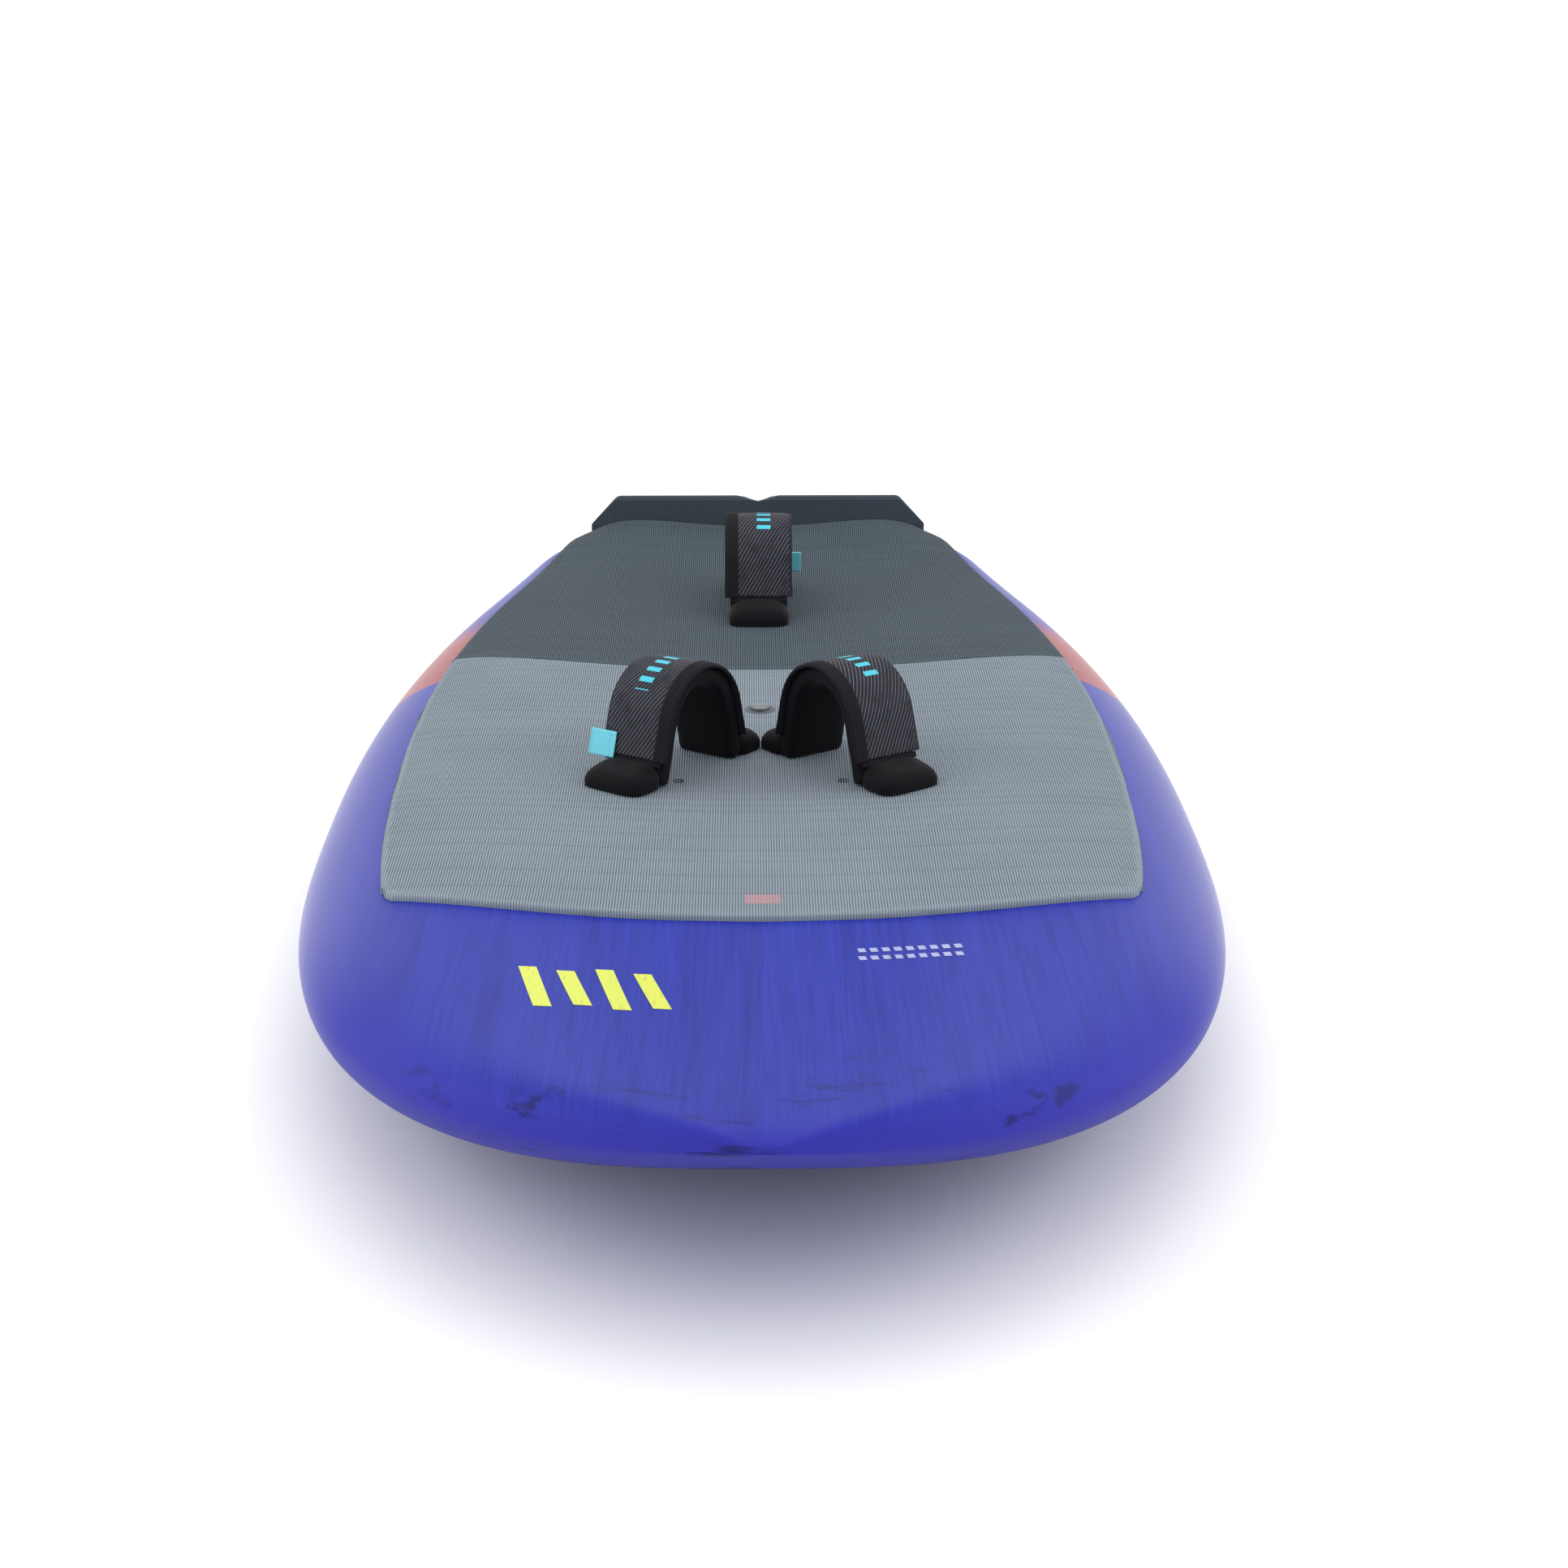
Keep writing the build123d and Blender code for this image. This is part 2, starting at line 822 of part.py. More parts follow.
def leash_well():
    radius = leash_cup_radius + leash_wall
    return post(0, leash_station, radius, leash_top() - leash_depth, leash_top())


def leash_mouth():
    radius = leash_cup_radius + leash_wall
    return post(0, leash_station, radius, leash_top() - over, leash_top() + 4 * over)


def leash_bar(extra=0.0):
    """Steel bar across the cup; extra widens it, for the hole that holds it."""
    length = 2 * leash_cup_radius + leash_wall
    rod = Cylinder(leash_bar_radius + extra, length + 2 * extra, rotation=(0, 90, 0))
    return Pos(0, y_at(leash_station), leash_top() - leash_bar_drop) * rod


def leash_cup():
    floor = leash_top() - leash_depth + leash_wall
    hollow = post(0, leash_station, leash_cup_radius, floor, leash_top() + over)
    return leash_well() - hollow - leash_bar(fit_clearance / 2)


# ---------------------------------------------------------------- hull parts


def hull_shell(hull):
    """Laminate wrapped round the whole board, opened for every fitting."""
    shell = hull - full_hull(skin, nose_block)
    for spot in used_spots() + spare_spots():
        shell -= insert_well(*spot)
        shell -= insert_mouth(*spot)
    shell -= vent_stem()
    shell -= leash_well()
    shell -= leash_mouth()
    for side in (-1, 1):
        opening = block(
            track_x(side), track_centre_station(), track_width, track_length, -over, 2 * skin
        )
        shell -= opening
    return shell - block(0, handle_station, handle_width, handle_length, -over, 2 * skin)


def dense_nodes(core):
    """Dense foam round the strap inserts and over the foil tracks."""
    front_block, rear_blocks = insert_blocks()
    front_fill = front_block & core
    rear_fill = [solid & core for solid in rear_blocks]
    mast_fill = mast_block() & core
    for spot in used_spots() + spare_spots():
        front_fill -= insert_well(*spot)
        rear_fill = [solid - insert_well(*spot) for solid in rear_fill]
    for side in (-1, 1):
        mast_fill -= track_well(side)
    return {
        "front_insert_block": front_fill,
        "rear_insert_blocks": rear_fill,
        "mast_box_block": mast_fill,
    }


def foam_core(core):
    front_block, rear_blocks = insert_blocks()
    foam = core - front_block - mast_block()
    for solid in rear_blocks:
        foam -= solid
    foam -= vent_stem()
    foam -= leash_well()
    return foam - block(0, handle_station, handle_width, handle_length, 0, handle_depth)


# ---------------------------------------------------------------- pads on the hull


def badge():
    station = board_length - pad_nose_gap - badge_nose_gap
    top = deck_z(0, station) + pad_thickness - badge_set_back
    plate = block(0, station, badge_size[0], badge_size[1], top - badge_size[2], top)
    return fillet(plate.edges().filter_by(Axis.Z), badge_corner)


def pad_openings():
    openings = [insert_mouth(*spot) for spot in used_spots() + open_spare_spots()]
    openings.append(post(0, vent_station, vent_flange_radius + vent_flange_gap, 0, reach))
    return openings


def pad_nodes(hull, raised):
    """Pads between the deck and the same surface raised by their thickness."""
    front_pad = (front_pad_blank() & raised) - hull
    rear_pad = (rear_pad_blank() & raised) - hull
    for cutter in pad_openings():
        front_pad -= cutter
        rear_pad -= cutter
    front_pad -= badge()
    front_pad -= Pos(0, 0, badge_size[2]) * badge()
    kick = (kick_side_profile() & kick_front_profile() & kick_plan()) - hull
    kick -= post(0, leash_station, leash_cup_radius + leash_wall + leash_pad_gap, 0, reach)
    return {
        "front_deck_pad": front_pad,
        "rear_deck_pad": rear_pad,
        "tail_kick_pad": kick,
        "pad_badge": badge(),
    }


# ---------------------------------------------------------------- assembly


def fitting_nodes():
    """Foil tracks with two nuts each, carry handle, vent and leash plug."""
    nodes = {}
    half_spacing = foil_hole_spacing / 2
    ends = {"rear": -half_spacing, "front": half_spacing}
    for word, side in (("left", -1), ("right", 1)):
        nodes[word + "_foil_track"] = track_solid(side)
        for end, shift in ends.items():
            station = track_centre_station() + shift
            nodes[word + "_" + end + "_track_nut"] = nut_solid(side, station)
    nodes["carry_handle_cup"] = handle_solid()
    nodes["vent_plug_body"] = vent_body()
    nodes["vent_o_ring"] = vent_ring()
    nodes["vent_screw"] = vent_screw()
    nodes["leash_plug_cup"] = leash_cup()
    nodes["leash_bar"] = leash_bar()
    nodes["strap_inserts"] = [insert_solid(*spot) for spot in used_spots()]
    nodes["spare_inserts"] = [insert_solid(*spot) for spot in spare_spots()]
    return nodes


def one_strap(name, raised):
    """Layers of one strap, trimmed where they would sink into the pad."""
    place = strap_frame(name)
    nodes = {
        name + "_webbing": (place * webbing_local()) - raised,
        name + "_sleeve": (place * sleeve_local()) - raised,
        name + "_cover": place * cover_local(),
        name + "_tag": place * tag_local(),
    }
    for side, end in zip((-1, 1), strap_ends[name]):
        nodes[name + "_" + end + "_boot"] = (place * boot_local(side)) - raised
    return nodes


def fixing_nodes():
    """Upright screws in the inserts, each through a washer that lies on the webbing."""
    screws = []
    washers = []
    stack = pad_thickness + webbing_thickness + washer_size[2] + screw_seat_gap
    for name in strap_places():
        for x, station in foot_spots(name):
            screws.append(Pos(x, y_at(station), 0) * screw_solid(deck_z(x, station) + stack))
        for side in (-1, 1):
            washers.append(strap_frame(name) * washer_local(side * screw_spread()))
    return {"strap_screws": screws, "strap_washers": washers}


def build():
    hull = full_hull(0.0, nose_tip)
    core = full_hull(skin + bond_gap, nose_block + bond_gap)
    raised = deck_half(lift=pad_thickness)
    nodes = {"hull_shell": hull_shell(hull), "foam_core": foam_core(core)}
    nodes.update(dense_nodes(core))
    nodes.update(pad_nodes(hull, raised))
    nodes.update(fitting_nodes())
    for name in strap_places():
        nodes.update(one_strap(name, raised))
    nodes.update(fixing_nodes())
    return nodes


def write(nodes):
    os.makedirs("parts", exist_ok=True)
    for name, shape in nodes.items():
        solids = []
        for item in shape if isinstance(shape, list) else [shape]:
            solids += item.solids()
        body = solids[0] if len(solids) == 1 else Compound(children=solids)
        body.label = name
        export_step(body, "parts/" + name + ".step")
        print(name, len(solids), round(sum(s.volume for s in solids)))


write(build())
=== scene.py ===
# %% [markdown]
# # A wing foil board, piece by piece
# This lesson dresses a packed board model: a wrapped foam hull, grooved deck pads,
# three padded foot straps and the fittings under them.
# The frame is loaded first. It holds the solids that carry load, and every new
# surface takes its place from them, so that nothing has to be fitted afterwards.

# %% Load the frame
import json
import math

import bmesh
import bpy
import numpy as np
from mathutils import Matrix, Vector


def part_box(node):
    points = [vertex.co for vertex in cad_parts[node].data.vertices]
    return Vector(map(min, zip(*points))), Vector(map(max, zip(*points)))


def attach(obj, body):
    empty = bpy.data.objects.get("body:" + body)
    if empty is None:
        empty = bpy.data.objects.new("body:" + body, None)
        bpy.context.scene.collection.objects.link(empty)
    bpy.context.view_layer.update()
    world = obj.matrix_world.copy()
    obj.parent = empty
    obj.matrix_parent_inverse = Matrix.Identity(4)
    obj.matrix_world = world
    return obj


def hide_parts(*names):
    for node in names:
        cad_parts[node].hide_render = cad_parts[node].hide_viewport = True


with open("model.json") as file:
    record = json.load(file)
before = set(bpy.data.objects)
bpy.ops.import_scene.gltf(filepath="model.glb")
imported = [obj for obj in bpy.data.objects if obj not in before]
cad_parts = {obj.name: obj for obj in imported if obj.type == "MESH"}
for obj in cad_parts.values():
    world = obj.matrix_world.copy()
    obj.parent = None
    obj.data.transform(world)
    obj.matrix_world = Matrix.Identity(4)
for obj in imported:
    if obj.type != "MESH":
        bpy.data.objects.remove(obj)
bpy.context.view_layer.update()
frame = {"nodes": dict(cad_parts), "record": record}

# %% [markdown]
# ## The hull's shape as formulas
# A board shaper works from an outline, a rocker line and a few cross sections.
# The same is done here. A station is the distance from the tail end. At each
# station there is a half width, a rail height, a deck height and a bottom height,
# and two superellipses join them. A shape that is one formula stays smooth
# wherever it is sampled, which a hand-made mesh doesn't.

# %% Outline, rocker and deck line
hull_low, hull_high = [np.array(v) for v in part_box("hull_shell")]
LENGTH = hull_high[1] - hull_low[1]
WIDTH = hull_high[0] - hull_low[0]
TAIL_Y = hull_high[1]
WIDEST = 0.890                        # station of the widest point
NOSE_LENGTH = LENGTH - WIDEST
TAIL_HALF = 0.2015
CORNER_CUT, CORNER_RUN = 0.095, 0.110
DECK = 0.119
KICK_STATION = 0.050
PAD_THICKNESS = 0.0055


def y_at(station):
    return TAIL_Y - station


def nose_share(station):
    return np.clip((station - WIDEST) / NOSE_LENGTH, 0.0, 1.0)


def corner_cut(station):
    """What the cut tail corners take off the half width."""
    return CORNER_CUT * np.clip(1 - station / CORNER_RUN, 0.0, 1.0) ** 2


def half_width(station):
    """Superellipse toward the nose, power curve toward the tail, less the cut corners.

    Very near the tip the superellipse turns into a parabola, so that the nose is round.
    """
    left = np.maximum(1 - nose_share(station) ** 2.865, 1e-9)
    blunt = ((1 + 0.035 / left) / 1.035) ** (1 / 1.673 - 0.5)
    nose = left ** (1 / 1.673) * blunt * (left > 2e-9)
    tail = np.clip(1 - station / WIDEST, 0.0, 1.0)
    return WIDTH / 2 * nose - (WIDTH / 2 - TAIL_HALF) * tail ** 2.22 - corner_cut(station)


def apex_z(station):
    """Height of the widest point of the rail."""
    tail = np.clip(1 - station / WIDEST, 0.0, 1.0)
    return 0.086 + 0.054 * nose_share(station) ** 3.2 + 0.024 * tail ** 2


def deck_centre_z(station):
    """Deck on the centre line: level, rising by a square law to the nose and the kick."""
    nose = np.clip(1 - (LENGTH - station) / 0.501, 0.0, 1.0)
    tail = np.clip(1 - (np.maximum(station, KICK_STATION) - KICK_STATION) / 0.180, 0.0, 1.0)
    return DECK + 0.036 * nose ** 2 + 0.024 * tail ** 2


def bottom_centre_z(station):
    tail = np.clip(1 - station / 0.290, 0.0, 1.0)
    return 0.136 * nose_share(station) ** 3.4 + 0.012 * tail ** 2


def nose_end(station):
    """One along the board, dropping to nothing over the last 25 mm of the nose."""
    return np.sqrt(np.clip(1 - nose_share(station) ** 30.0, 0.0, 1.0))


def deck_z(x, station):
    """Rail height plus a flat-topped superellipse, plus a dish that lifts the edges."""
    share = np.clip(np.abs(x) / np.maximum(half_width(station), 1e-6), 0.0, 1.0)
    crown = np.sqrt(np.clip(1 - share ** 8.0, 0.0, 1.0))
    dish = 4 * 0.008 * share ** 2 * (1 - share ** 2)
    rise = deck_centre_z(station) - apex_z(station)
    return apex_z(station) + (rise * crown + dish) * nose_end(station)


def bottom_z(x, station):
    share = np.clip(np.abs(x) / np.maximum(half_width(station), 1e-6), 0.0, 1.0)
    crown = np.sqrt(np.clip(1 - share ** 3.2, 0.0, 1.0))
    return apex_z(station) - (apex_z(station) - bottom_centre_z(station)) * nose_end(station) * crown


print("length", round(LENGTH, 3), "width", round(WIDTH, 3))

# %% [markdown]
# ## Putting arrays into meshes
# A grid of points with rows and columns becomes a mesh of quads. The helpers
# here take whole numpy arrays, so no loop runs over single points.

# %% Mesh helpers


def link(name, mesh):
    piece = bpy.data.objects.new(name, mesh)
    bpy.context.scene.collection.objects.link(piece)
    return piece


def mesh_piece(name, points, faces, uv=None, smooth=True):
    """Points (n, 3) and quads (m, 4) to a piece; uv gives one pair for each point."""
    mesh = bpy.data.meshes.new(name)
    mesh.vertices.add(len(points))
    mesh.vertices.foreach_set("co", np.ascontiguousarray(points, dtype=np.float32).ravel())
    mesh.loops.add(faces.size)
    mesh.polygons.add(len(faces))
    mesh.loops.foreach_set("vertex_index", faces.astype(np.int32).ravel())
    mesh.polygons.foreach_set("loop_start", np.arange(0, faces.size, 4, dtype=np.int32))
    mesh.update(calc_edges=True)
    mesh.validate()
    mesh.polygons.foreach_set("use_smooth", np.full(len(mesh.polygons), smooth))
    if uv is not None:
        layer = mesh.uv_layers.new(name="surface")
        index = np.empty(len(mesh.loops), dtype=np.int32)
        mesh.loops.foreach_get("vertex_index", index)
        layer.data.foreach_set("uv", np.ascontiguousarray(uv[index], dtype=np.float32).ravel())
    return link(name, mesh)


def grid_faces(rows, columns, wrap=False, flip=False):
    """Quads of a rows x columns grid; wrap joins the last column to the first."""
    i, j = np.meshgrid(np.arange(rows - 1), np.arange(columns if wrap else columns - 1), indexing="ij")
    k = (j + 1) % columns
    a, b = i * columns + j, i * columns + k
    c, d = (i + 1) * columns + k, (i + 1) * columns + j
    quads = np.stack([a, b, c, d], -1).reshape(-1, 4)
    return quads[:, ::-1] if flip else quads


def weld(piece, distance=1e-6):
    """Merge doubled points, drop faces with no area and turn all faces outward."""
    shell = bmesh.new()
    shell.from_mesh(piece.data)
    bmesh.ops.remove_doubles(shell, verts=shell.verts, dist=distance)
    bmesh.ops.dissolve_degenerate(shell, dist=distance, edges=shell.edges)
    bmesh.ops.recalc_face_normals(shell, faces=shell.faces)
    shell.to_mesh(piece.data)
    shell.free()
    piece.data.update()
    return piece


def finish_piece(piece, body, slot, material, *nodes):
    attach(piece, body)
    piece.data.materials.clear()
    piece.data.materials.append(material)
    if nodes:
        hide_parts(*nodes)
    print(piece.name, len(piece.data.polygons), "faces")
    return piece


# %% [markdown]
# ## Materials
# Each finish is a small tree of nodes. Patterns are read from Object
# coordinates, which are the board's own frame, or from the surface's UV map
# where a pattern has to follow a bent band. Numbers that are even all over a
# surface go straight on the shader.

# %% Material helpers


def new_material(name, base=(0.5, 0.5, 0.5), roughness=0.5, metallic=0.0, **sockets):
    material = bpy.data.materials.new(name)
    material.use_nodes = True
    tree = material.node_tree
    shader = tree.nodes["Principled BSDF"]
    shader.inputs["Base Color"].default_value = (*base, 1.0)
    shader.inputs["Roughness"].default_value = roughness
    shader.inputs["Metallic"].default_value = metallic
    for key, value in sockets.items():
        shader.inputs[key.replace("_", " ")].default_value = value
    return material, tree, shader


def node(tree, kind, **settings):
    item = tree.nodes.new(kind)
    for key, value in settings.items():
        setattr(item, key, value)
    return item


def join(tree, source, target):
    tree.links.new(source, target)


def math_node(tree, operation, *values):
    item = node(tree, "ShaderNodeMath", operation=operation)
    for socket, value in zip(item.inputs, values):
        if isinstance(value, (int, float)):
            socket.default_value = value
        else:
            join(tree, value, socket)
    return item.outputs[0]


def plus(tree, first, second):
    return math_node(tree, "ADD", first, second)


def minus(tree, first, second):
    return math_node(tree, "SUBTRACT", first, second)


def times(tree, first, second):
    return math_node(tree, "MULTIPLY", first, second)


def object_axes(tree):
    coordinates = node(tree, "ShaderNodeTexCoord")
    split = node(tree, "ShaderNodeSeparateXYZ")
    join(tree, coordinates.outputs["Object"], split.inputs[0])
    return coordinates.outputs["Object"], split.outputs


def uv_axes(tree):
    coordinates = node(tree, "ShaderNodeUVMap", uv_map="surface")
    split = node(tree, "ShaderNodeSeparateXYZ")
    join(tree, coordinates.outputs["UV"], split.inputs[0])
    return coordinates.outputs["UV"], split.outputs


def stretched(tree, vector, scale):
    mapping = node(tree, "ShaderNodeMapping")
    mapping.inputs["Scale"].default_value = scale
    join(tree, vector, mapping.inputs["Vector"])
    return mapping.outputs[0]


def noise(tree, vector, scale, detail=4.0, roughness=0.5):
    item = node(tree, "ShaderNodeTexNoise")
    item.inputs["Scale"].default_value = scale
    item.inputs["Detail"].default_value = detail
    item.inputs["Roughness"].default_value = roughness
    join(tree, vector, item.inputs["Vector"])
    return item.outputs["Fac"]


def ramp(tree, factor, low, high):
    """Smooth step of a value from low to high, 0 to 1."""
    item = node(tree, "ShaderNodeMapRange", interpolation_type="SMOOTHSTEP")
    item.inputs["From Min"].default_value = low
    item.inputs["From Max"].default_value = high
    join(tree, factor, item.inputs["Value"])
    return item.outputs["Result"]


def mix(tree, factor, first, second):
    item = node(tree, "ShaderNodeMix", data_type="RGBA")
    sockets = [s for s in item.inputs if s.enabled]
    for socket, value in zip(sockets, (factor, first, second)):
        if isinstance(value, (int, float)):
            socket.default_value = value
        elif isinstance(value, tuple):
            socket.default_value = (*value, 1.0)
        else:
            join(tree, value, socket)
    return [s for s in item.outputs if s.enabled][0]


def add_bump(tree, shader, height, strength, distance):
    item = node(tree, "ShaderNodeBump")
    item.inputs["Strength"].default_value = strength
    item.inputs["Distance"].default_value = distance
    join(tree, height, item.inputs["Height"])
    join(tree, item.outputs["Normal"], shader.inputs["Normal"])


# %% [markdown]
# ## The laminate finish
# The hull is sprayed blue over the sandwich skin and sealed with a satin clear
# coat. The spray fades to coral along both rails behind the middle, with a sharp
# edge in front and a soft one behind. Brushed streaks run along the nose deck,
# and the rim at the nose carries scuffs. All of it depends only on where a point
# lies on the board, so Object coordinates drive it.

# %% Board laminate


def board_finish():
    material, tree, shader = new_material("board_laminate")
    place, (x, y, z) = object_axes(tree)
    edge = node(tree, "ShaderNodeAttribute", attribute_name="rail").outputs["Fac"]
    polish = times(tree, edge, ramp(tree, y, -0.58, -0.28))
    join(tree, minus(tree, 0.46, times(tree, polish, 0.20)), shader.inputs["Roughness"])
    join(tree, plus(tree, 0.07, times(tree, polish, 0.60)), shader.inputs["Specular IOR Level"])
    side = math_node(tree, "ABSOLUTE", x)
    streaks = noise(tree, stretched(tree, place, (420.0, 6.0, 6.0)), 1.0, 5.0, 0.7)
    broad = noise(tree, stretched(tree, place, (60.0, 3.0, 3.0)), 1.0, 4.0, 0.6)
    streak = plus(tree, times(tree, streaks, 0.6), times(tree, broad, 0.4))
    blue = mix(tree, ramp(tree, streak, 0.30, 0.70), (0.012, 0.019, 0.220), (0.022, 0.036, 0.345))
    # The rails are sprayed a purer blue than the brushed deck.
    blue = mix(tree, edge, blue, (0.030, 0.028, 0.300))
    # Scuffs round the nose rim.
    scuff = noise(tree, stretched(tree, place, (9.0, 26.0, 60.0)), 1.0, 5.0, 0.62)
    rim = ramp(tree, times(tree, y, -1.0), 0.60, 0.76)
    scuffed = times(tree, ramp(tree, scuff, 0.56, 0.68), times(tree, rim, 0.75))
    blue = mix(tree, scuffed, blue, (0.010, 0.011, 0.070))
    # Coral bands: a sharp front edge that leans outward and a soft fade behind.
    front = plus(tree, y, times(tree, minus(tree, side, 0.28), 0.55))
    sharp = ramp(tree, front, 0.268, 0.272)
    soft = ramp(tree, y, 0.56, 0.36)
    outer = ramp(tree, side, 0.15, 0.20)
    speckle = noise(tree, place, 900.0, 2.0, 0.5)
    band = times(tree, times(tree, sharp, soft), outer)
    grain = plus(tree, band, times(tree, minus(tree, speckle, 0.5), 0.5))
    band = times(tree, ramp(tree, grain, 0.15, 0.85), ramp(tree, band, 0.0, 0.12))
    colour = mix(tree, band, blue, (0.300, 0.066, 0.080))
    join(tree, colour, shader.inputs["Base Color"])
    add_bump(tree, shader, streaks, 0.05, 0.0004)
    return material


BOARD = board_finish()
print("laminate ready")

# %% [markdown]
# ## The hull surface
# A real hull has no seam, so it is made as one closed surface: columns run round
# each cross section, rows run along the stations, and both crowd where the shape
# turns fast. On the bottom the middle columns keep a fixed distance from the
# centre line, so that the quads over the foil tracks and the carry handle can
# simply be left out. That is cleaner than cutting, which would leave slivers.

# %% Hull piece
NOSE_CROWD = 2.4
MIDDLE_HALF = 0.075          # the bottom columns that keep their distance
track_boxes = [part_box("left_foil_track"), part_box("right_foil_track")]
handle_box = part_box("carry_handle_cup")


def merged(values, extra):
    """Sorted values with the extra ones put in place of their nearest neighbours."""
    kept = values[np.min(np.abs(values[:, None] - np.array(extra)[None, :]), axis=1) > 0.0022]
    return np.sort(np.concatenate([kept, np.array(extra)]))


def station_rows():
    """Stations from the transom to the tip, crowding toward the tip by a power law."""
    back = np.linspace(0.0, WIDEST, 130)
    front = LENGTH - NOSE_LENGTH * (1 - np.linspace(0.0, 1.0, 150)[1:]) ** NOSE_CROWD
    holes = []
    for low, high in track_boxes + [handle_box]:
        holes += [TAIL_Y - low[1], TAIL_Y - high[1]]
    return merged(np.concatenate([back, front]), sorted(set(np.round(holes, 6))))


def hull_surface():
    """Rows are stations; columns go over the deck from left to right and back below."""
    stations = station_rows()
    half = half_width(stations)[:, None]
    turn = np.linspace(0.0, np.pi, 121)
    # Equal steps of the superellipse angle crowd the columns at the rails.
    deck_share = np.sign(np.cos(turn)) * np.abs(np.cos(turn)) ** 0.42
    deck_x = -half * deck_share[None, :]
    deck = np.stack([deck_x, np.broadcast_to(y_at(stations)[:, None], deck_x.shape),
                     deck_z(deck_x, stations[:, None])], -1)
    # Columns of the bottom: fixed near the middle, spread by share outside it.
    inner = np.unique(np.round(np.abs([b[0] for box in track_boxes + [handle_box] for b in box]), 6))
    inner = merged(np.linspace(0.0, MIDDLE_HALF, 16), list(inner))
    inner = np.unique(np.concatenate([-inner, inner]))
    fit = np.minimum(1.0, 0.4 * half / MIDDLE_HALF)
    outer = np.cos(np.linspace(0.0, np.pi / 2, 34))[:-1] ** 0.6
    start = MIDDLE_HALF * fit
    right = start + (half - start) * outer[None, :]
    bottom_x = np.concatenate([right, (inner[::-1])[None, :] * fit, -right[:, ::-1]], axis=1)
    bottom = np.stack([bottom_x, np.broadcast_to(y_at(stations)[:, None], bottom_x.shape),
                       bottom_z(bottom_x, stations[:, None])], -1)
    return stations, deck, bottom


def open_holes(points, faces):
    """Leave out quads whose middle lies under a track or the handle cup."""
    middle = points[faces].mean(axis=1)
    keep = np.ones(len(faces), dtype=bool)
    for low, high in track_boxes + [handle_box]:
        inside = (middle[:, 0] > low[0]) & (middle[:, 0] < high[0])
        inside &= (middle[:, 1] > low[1]) & (middle[:, 1] < high[1]) & (middle[:, 2] < 0.03)
        keep &= ~inside
    return faces[keep]


def hull_piece():
    stations, deck, bottom = hull_surface()
    rows = len(stations)
    ring = np.concatenate([deck, bottom[:, 1:-1]], axis=1)
    points = ring.reshape(-1, 3)
    faces = open_holes(points, grid_faces(rows, ring.shape[1], wrap=True))
    # The transom is a grid of quads from the deck line of row 0 down to the bottom.
    deck_count = deck.shape[1]
    levels = np.linspace(0.0, 1.0, 9)[:, None, None]
    top = deck[0][None, :, :]
    low_x = top[..., 0]
    low = np.stack([low_x, top[..., 1], bottom_z(low_x, 0.0)], -1)
    wall = top * (1 - levels) + low * levels
    wall_faces = grid_faces(9, deck_count) + len(points)
    piece = mesh_piece("hull_laminate", np.concatenate([points, wall.reshape(-1, 3)]),
                       np.concatenate([faces, wall_faces]))
    # How near a point is to the rail: nothing on the flat of the deck, one on rail and bottom.
    share = np.abs(deck[..., 0]) / np.maximum(half_width(stations)[:, None], 1e-6)
    flat = (1 - np.minimum(share, 1.0) ** 8.0) * nose_end(stations)[:, None] ** 2
    edge = np.concatenate([1 - flat, np.ones((rows, bottom.shape[1] - 2))], axis=1).ravel()
    layer = piece.data.attributes.new("rail", "FLOAT", "POINT")
    layer.data.foreach_set("value", np.concatenate([edge, np.ones(wall.size // 3)]).astype(np.float32))
    return weld(piece, 2e-5)


finish_piece(hull_piece(), "board", "board_laminate", BOARD, "hull_shell")

# %% [markdown]
# ## Camera, floor and light
# The board is seen from in front of the nose and above it, through a portrait
# lens. The floor and the surroundings are white, and two large soft lights at the
# sides put the long pale reflections on the rails.

# %% Camera and studio
CAMERA_LENS = 70.0
CAMERA_SIDE = -0.0078
CAMERA_BACK = 1.634          # from the nose tip
CAMERA_UP = 0.775            # above the deck
CAMERA_PITCH = 17.84
CAMERA_YAW = 0.64


def make_camera():
    data = bpy.data.cameras.new("studio_camera")
    data.sensor_width = 36.0
    data.lens = CAMERA_LENS
    camera = bpy.data.objects.new("studio_camera", data)
    camera.location = (CAMERA_SIDE, hull_low[1] - CAMERA_BACK, DECK + CAMERA_UP)
    camera.rotation_euler = (math.radians(90 - CAMERA_PITCH), 0.0, math.radians(-CAMERA_YAW))
    bpy.context.scene.collection.objects.link(camera)
    bpy.context.scene.camera = camera


def area_light(name, place, aim, size, power, colour=(1, 1, 1)):
    data = bpy.data.lights.new(name, "AREA")
    data.shape = "RECTANGLE"
    data.size, data.size_y = size
    data.energy = power
    data.color = colour
    lamp = bpy.data.objects.new(name, data)
    lamp.location = place
    lamp.rotation_euler = (Vector(aim) - Vector(place)).to_track_quat("-Z", "Y").to_euler()
    bpy.context.scene.collection.objects.link(lamp)


